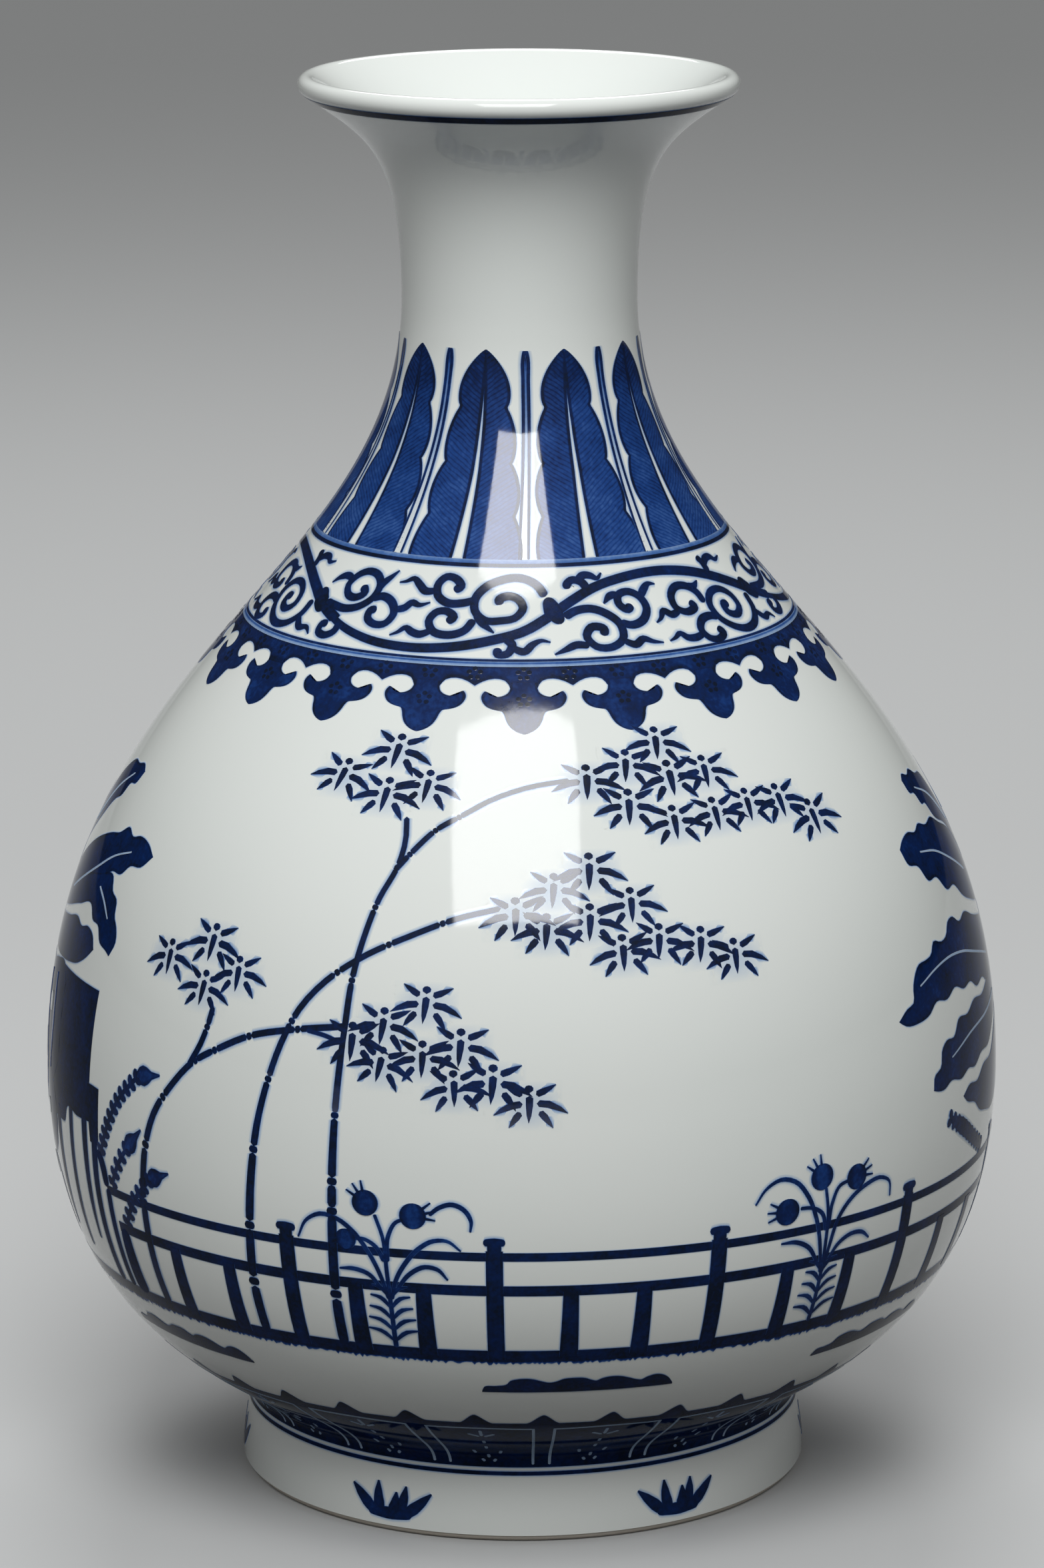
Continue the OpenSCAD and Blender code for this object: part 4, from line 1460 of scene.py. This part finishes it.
rails = Painting(WASH)
fringe = FRINGE_LEAST + FRINGE_MORE * chance.uniform(0, 1, FRINGE_ROUND)**FRINGE_RARITY
rails.band(arc_at(BOTTOM_RAIL[0] - fringe), arc_at(BOTTOM_RAIL[0] + FRINGE_TOP), FRINGE_TONES)
ring(rails, *BOTTOM_RAIL, [0.97, 0.93, 0.97])
for upper_rail in UPPER_RAILS:
    rail(rails, *upper_rail)
rails.piece("fence_rails", reflection_dimmed_blue)
posts = Painting(LINE)
plank(posts, POSTS, *POST)
plank(posts, POSTS, *COLLAR)
stroke(posts, CAP, CAP_W, 0.95, CAP_ROWS, POSTS)
plank(posts, BALUSTERS, *BALUSTER)
posts.piece("fence_posts", reflection_dimmed_blue)

# %% [markdown]
# Flowers by the fence
#
# Two sprigs stand in front of the fence, with round buds on thin stems and long leaves that arch
# over and droop. Each is a handful of strokes; a bud is a stroke as wide as it is long.

# %% Places of the sprigs
# The stems are listed by the angle of their foot, and a bud has angle, height, radius and tilt
SPRIG_STEMS = {
    -15.6: [[(-15.6, 51), (-15.6, 60), (-15.8, 68), (-16.1, 75), (-17, 79.6)],
            [(-15.7, 70), (-15.4, 75.5), (-14.4, 78.4), (-13.6, 79)],
            [(-16, 70), (-17, 73), (-18.6, 74.4), (-19.6, 74.2)]],
    38.0: [[(38, 51), (38, 60), (38, 68), (37.9, 75), (37.4, 80)],
           [(37.8, 71), (37, 74.8), (35.5, 76.3), (33.8, 76.7)],
           [(38.1, 71), (38.5, 76.5), (39.5, 79.6), (41, 80.3)]],
}
SPRIG_LEAVES = [
    [(-15.8, 62), (-16.4, 66), (-18, 72), (-19.6, 75.6), (-21.6, 78), (-23.6, 78.6), (-25.4, 77),
     (-26.6, 73.2)],
    [(-10.6, 80.2), (-9.4, 81.8), (-8, 82.5), (-6.6, 81.5), (-5.8, 79.2), (-5.9, 77)],
    [(-15.4, 62), (-14.8, 66), (-13.5, 70), (-12, 73), (-10.2, 74.9), (-8.6, 75), (-7, 73)],
    [(-14.6, 64.5), (-13, 67.8), (-11.2, 69.4), (-9.8, 69), (-8.6, 66.8)],
    [(-16.7, 64.5), (-18, 67), (-19.8, 67.9), (-21.6, 67.7)],
    [(37.8, 62), (37.3, 67), (36.2, 74), (34.8, 79), (33, 82.4), (31, 83.4), (29, 82), (27.6, 79)],
    [(38.1, 62), (38.6, 67), (39.8, 73.4), (41.6, 76.6), (44, 78.5), (46.2, 79), (47.9, 77.6),
     (48.2, 74.4)],
    [(37, 64.5), (35.5, 68), (33.6, 69.7), (31.4, 70)],
    [(38.8, 64.5), (40, 67.3), (42, 68.8), (43.8, 68.5), (45.2, 66.8)],
]
BUDS = [(-18.1, 81.8, 2.6, 125), (-12.5, 79.8, 2.6, 15), (-20.6, 74, 2.1, 180), (36.8, 82.3, 2.7, 120),
        (32, 76.5, 2.7, 175), (42.2, 80.6, 2.6, 20)]
print(len(SPRIG_LEAVES), "leaves and", len(BUDS), "buds on each side")

# %% Flower sprigs
STEM_WIDTHS = [0.42, 0.34, 0.26]
SPRIG_LEAF_W = [0.3, 0.36, 0.4, 0.36, 0.1]
# A leaf at a sprig's foot: shares of its reach, and millimetres up
FOOT_LEAF = [(0, 0), (0.5, 2.2), (1, 2.7)]
FOOT_LEAF_Z = (52.5, 55, 57.5, 60, 62.2)
FOOT_LEAF_REACH = 3.2
FOOT_LEAF_LESS = 0.25
FOOT_LEAF_W = [0.2, 0.42, 0.08]
FOOT_LEAF_ROWS = 10
SPRIG_TONE = 0.85
BUD_DEPTH = 0.95
flowers = Painting(LINE)


def both_sides(places, width, rows=None):
    """A stroke of a sprig in front and its twin on the back of the vase."""
    for side in (places, behind(places)):
        stroke(flowers, side, width, SPRIG_TONE, rows)


for foot_angle, stems in SPRIG_STEMS.items():
    for places in stems:
        both_sides(places, STEM_WIDTHS)
    for level, z in enumerate(FOOT_LEAF_Z):
        reach = FOOT_LEAF_REACH - FOOT_LEAF_LESS * level
        for hand in (-1, 1):
            leaf = [(foot_angle + hand * out * reach, z + up) for out, up in FOOT_LEAF]
            both_sides(leaf, FOOT_LEAF_W, FOOT_LEAF_ROWS)
for places in SPRIG_LEAVES:
    both_sides(places, SPRIG_LEAF_W)
for a, z, r, crown in BUDS:
    bud(flowers, a, z, r, crown, BUD_DEPTH)
    bud(flowers, 180 - a, z, r, 180 - crown, BUD_DEPTH)
flowers.piece("flower_sprigs", reflection_dimmed_blue)

# %% [markdown]
# Ground below the fence
#
# Flat strokes with a scalloped top stand for banks of earth. The top is a row of bumps over a
# level foot, so each is a wash between a wavy edge and a straight one.

# %% Banks of earth
BANK_MIDDLES = np.concatenate([[-51.0, 7.6], np.linspace(55.0, 309.0, 6)[:-1]])
BANK_LOW_Z = 40.9
BANK_TOP = [(-12.9, 41.3), (-12.6, 42.2), (-11, 42.5), (-9.7, 42.9), (-9.2, 43.8), (-8.2, 44.25),
            (-6.2, 44.2), (-5.2, 43.7), (-4.1, 43.3), (-3.2, 43.6), (-2.4, 44.15), (-1.1, 44.35),
            (0.4, 44.2), (1.2, 43.7), (1.9, 43.4), (2.6, 43.9), (3.7, 44.25), (5, 44.15), (6.2, 43.6),
            (7.3, 43), (7.9, 42.85), (8.6, 43.4), (9.6, 43.85), (10.7, 43.6), (11.7, 42.6), (12.4, 41.3)]
BANK_ROWS = 110
BANK_TONES = (0.93, 0.95)
bank = Painting(LINE)
high_edge = smooth_path(to_plane(BANK_TOP, 0), BANK_ROWS, True)
low_edge = np.stack([high_edge[:, 0], np.full(BANK_ROWS, arc_at(BANK_LOW_Z))], -1)
lay_flat(bank, wash_grid(low_edge, high_edge), 0, wash_tone(*BANK_TONES), BANK_MIDDLES)
bank.piece("earth_banks", reflection_dimmed_blue)

# %% [markdown]
# Lotus panels above the foot
#
# The dark band just above the foot is a row of eighteen panels with small pointed teeth on top. The
# band is one wash whose upper edge carries the teeth, and the panels are drawn on it in white
# lines with a small spray in each.

# %% Panels and teeth
TEETH = 36
TOOTH_HALF = 2.5
TOOTH_RISE = 2.7
TOOTH_AT = 3.0
TOOTH_BASE = 0.8
TOOTH_POINT = 1.5
PANEL_LOW_Z = 15.6
PANEL_HIGH_Z = 31.3
PANEL_ROUND = 1200
PANEL_TONES = [0.97, 0.86, 0.84, 0.84, 0.86, 0.9, 0.97]
pitch = 360 / TEETH
wheel = np.linspace(0, 360, PANEL_ROUND, endpoint=False)
to_tooth = np.abs((wheel - TOOTH_AT + pitch / 2) % pitch - pitch / 2)
tooth = TOOTH_RISE * np.cos(np.pi / 2 * np.clip(to_tooth / TOOTH_HALF, 0, 1)**TOOTH_BASE)**TOOTH_POINT
panels = Painting(WASH)
panels.band(arc_at(PANEL_LOW_Z), arc_at(PANEL_HIGH_Z + tooth), PANEL_TONES)
panels.piece("lotus_panels", matt_blue)

# %% White lines on the panels
PANELS = 18
PANEL_AT = -6.7
PANEL_LINE_W = [0.19]
PANEL_LINE_ROWS = 24
SPRAY_W = [0.24]
SPRAY_ROWS = 6
PANEL_LINES = [
    [(-8.4, 29.6), (-8.2, 24), (-8.0, 16.2)], [(8.3, 29.6), (8.5, 24), (8.7, 16.2)],
    [(-8.4, 29.4), (0, 29.6), (8.3, 29.4)],
]
PANEL_SPRAY = [
    [(0, 26.6), (0, 28.7)], [(-0.4, 26.4), (-2.2, 27.4)], [(0.4, 26.4), (2.2, 27.4)],
    [(0, 24.6), (0, 23.6)], [(0, 22.2), (0, 21.2)], [(-2.7, 20.4), (-2.4, 19.4)],
    [(2.6, 20.4), (2.3, 19.4)], [(0, 19), (0, 18)], [(-1.4, 17.6), (-0.9, 16.9)],
    [(1.4, 17.6), (0.9, 16.9)],
]
panel_turns = PANEL_AT + np.arange(PANELS) * 360 / PANELS
panel_marks = Painting(LINE)
for places in PANEL_LINES:
    stroke(panel_marks, places, PANEL_LINE_W, 0.2, PANEL_LINE_ROWS, panel_turns, EVEN_TONE)
for start, end in PANEL_SPRAY:
    places = np.linspace(start, end, 3)
    stroke(panel_marks, places, SPRAY_W, 0.24, SPRAY_ROWS, panel_turns, EVEN_TONE)
panel_marks.piece("panel_marks", matt_blue)

# %% [markdown]
# Grass on the foot
#
# Six tufts of grass are dabbed on the white foot, five blades each.

# %% Foot grass
GRASS_TUFTS = 6
GRASS_AT = 32.4
BLADES = [
    [(-3.5, 4.2), (-5.5, 6), (-8.8, 9)], [(-2, 4), (-2.6, 7), (-2.8, 10.4)],
    [(0.5, 4), (1.2, 6), (1.4, 8.6)], [(2, 4), (3, 7), (3.5, 10)], [(3.5, 4.2), (5.8, 6), (9, 9)],
]
BLADE_W = [1.0, 1.15, 0.8, 0.08]
SOD = [(-4.8, 4.3), (0, 4.1), (5, 4.3)]
SOD_W = [0.9, 1.2, 0.9]
GRASS_ROWS = 14
grass_turns = GRASS_AT + np.arange(GRASS_TUFTS) * 360 / GRASS_TUFTS
foot_grass = Painting(LINE)
for places, width in [(blade, BLADE_W) for blade in BLADES] + [(SOD, SOD_W)]:
    stroke(foot_grass, places, width, 0.94, GRASS_ROWS, grass_turns)
foot_grass.piece("foot_grass", reflection_dimmed_blue)

# %% [markdown]
# Stage, light and camera
#
# The floor is pale and painted a little darker away from the vase, as the light falls off, and to
# bounced light it is nearly black, which paints shade under the belly and on the foot. A soft box
# stands in front and above, which is what shows as the bright window down the middle of the belly,
# and a weaker one lights the back. The sky is brightest in front, as in a room with one window, and
# dim in reflections, where it would lay a veil on the dark blue. To the camera itself it shows as a
# plain grey that meets the far floor.
# The camera stands where its view lines up with the photograph's: a long lens, a little above.

# %% Floor
FLOOR_REACH = 6.0
# The paper is painted a little darker away from the vase, as falloff of the light
NEAR_PAPER = (0.55, 0.56, 0.56, 1)
FAR_PAPER_SHADED = (0.50, 0.51, 0.51, 1)
# To bounced light the floor is nearly black: painted shade under the belly and on the foot
BOUNCE_SHADE = (0.06, 0.06, 0.06, 1)
corners = [(x * FLOOR_REACH, y * FLOOR_REACH, 0) for x, y in ((-1, -1), (1, -1), (1, 1), (-1, 1))]
floor_mesh = bpy.data.meshes.new("floor")
floor_mesh.from_pydata(corners, [], [(0, 1, 2, 3)])
floor = bpy.data.objects.new("floor", floor_mesh)
bpy.context.collection.objects.link(floor)
paper = bpy.data.materials.new("floor_paper")
paper.use_nodes = True
tree = paper.node_tree
away = add(tree, "ShaderNodeVectorMath", {0: object_place(tree)}, operation="LENGTH").outputs["Value"]
far = ranged(tree, away, 0.0, 1.0, 0.1, 0.6, interpolation_type="SMOOTHSTEP")
bounced = add(tree, "ShaderNodeLightPath").outputs["Is Diffuse Ray"]
shade = mixed(tree, bounced, mixed(tree, far, NEAR_PAPER, FAR_PAPER_SHADED), BOUNCE_SHADE)
feed(tree, tree.nodes["Principled BSDF"], {"Base Color": shade, "Roughness": 0.9})
floor_mesh.materials.append(paper)
print("floor", 2 * FLOOR_REACH, "m wide")

# %% Sky
SKY_ELEVATION = np.radians(50)
SKY_NARROWNESS = 3.0
SKY_LEVELS = (0.16, 0.95)
SKY_IN_GLOSS = 0.15
BACKDROP = 0.203
FRONT_UP = (0, -np.cos(SKY_ELEVATION), np.sin(SKY_ELEVATION))
world = bpy.data.worlds.new("studio")
world.use_nodes = True
sky = world.node_tree
around = add(sky, "ShaderNodeTexCoord").outputs["Generated"]
facing = add(sky, "ShaderNodeVectorMath", {0: around, 1: FRONT_UP}, operation="DOT_PRODUCT").outputs["Value"]
glow = ranged(sky, reckoned(sky, "POWER", facing, SKY_NARROWNESS, use_clamp=True), *SKY_LEVELS)
ray = add(sky, "ShaderNodeLightPath").outputs
fill = reckoned(sky, "MULTIPLY", glow, ranged(sky, ray["Is Glossy Ray"], 1.0, SKY_IN_GLOSS))
seen = mixed(sky, ray["Is Camera Ray"], fill, BACKDROP, "FLOAT")
feed(sky, sky.nodes["Background"], {"Strength": seen, "Color": (1.0, 1.0, 1.0, 1)})
bpy.context.scene.world = world
print("sky from", *SKY_LEVELS)

# %% Soft boxes
AIM = np.array([0, 0, 0.15])
BOX_ELEVATION = np.radians(49.2)
BOX_DISTANCE = 1.5
BOX_SHIFT = np.array([-0.035, 0.011, 0.01])
TILT = np.pi / 2 - BOX_ELEVATION
FRONT_SIZE = (0.80, 0.87)
FRONT_WATTS = 13.8
BACK_SIZE = (0.74, 0.84)
BACK_WATTS = 9.0
toward = BOX_DISTANCE * np.array([0, -np.cos(BOX_ELEVATION), np.sin(BOX_ELEVATION)])


def soft_box(name, place, tilt, size, watts):
    """Rectangular lamp at a place, tilted about the axis to the right."""
    lamp = bpy.data.lights.new(name, "AREA")
    lamp.shape = "RECTANGLE"
    lamp.size, lamp.size_y = size
    lamp.energy = watts
    box = bpy.data.objects.new(name, lamp)
    box.location = place
    box.rotation_euler = (tilt, 0, 0)
    bpy.context.collection.objects.link(box)
    print(name, "of", watts, "W")


soft_box("soft_box", AIM + toward + BOX_SHIFT, TILT, FRONT_SIZE, FRONT_WATTS)
soft_box("back_box", AIM + toward * [1, -1, 1], -TILT, BACK_SIZE, BACK_WATTS)

# %% Camera
PHOTO_W, PHOTO_H = 1568, 2354
FOCAL_PX = 9535
AXIS_PX = 782.5
SENSOR_MM = 36.0
CAMERA_AT = (0, -1.263, 0.439)
PITCH = np.radians(13.206)
ROLL = np.radians(-0.17)
lens = bpy.data.cameras.new("camera")
lens.sensor_fit = "VERTICAL"
lens.sensor_height = SENSOR_MM
lens.lens = SENSOR_MM * FOCAL_PX / PHOTO_H
lens.shift_x = (PHOTO_W / 2 - AXIS_PX) / PHOTO_H
camera = bpy.data.objects.new("camera", lens)
camera.location = CAMERA_AT
level = Euler((np.pi / 2 - PITCH, 0, 0)).to_matrix()
camera.rotation_euler = (level @ Matrix.Rotation(ROLL, 3, "Z")).to_euler()
bpy.context.collection.objects.link(camera)
bpy.context.scene.camera = camera
bpy.context.scene.view_settings.view_transform = "Standard"
print("lens", round(lens.lens, 1), "mm")
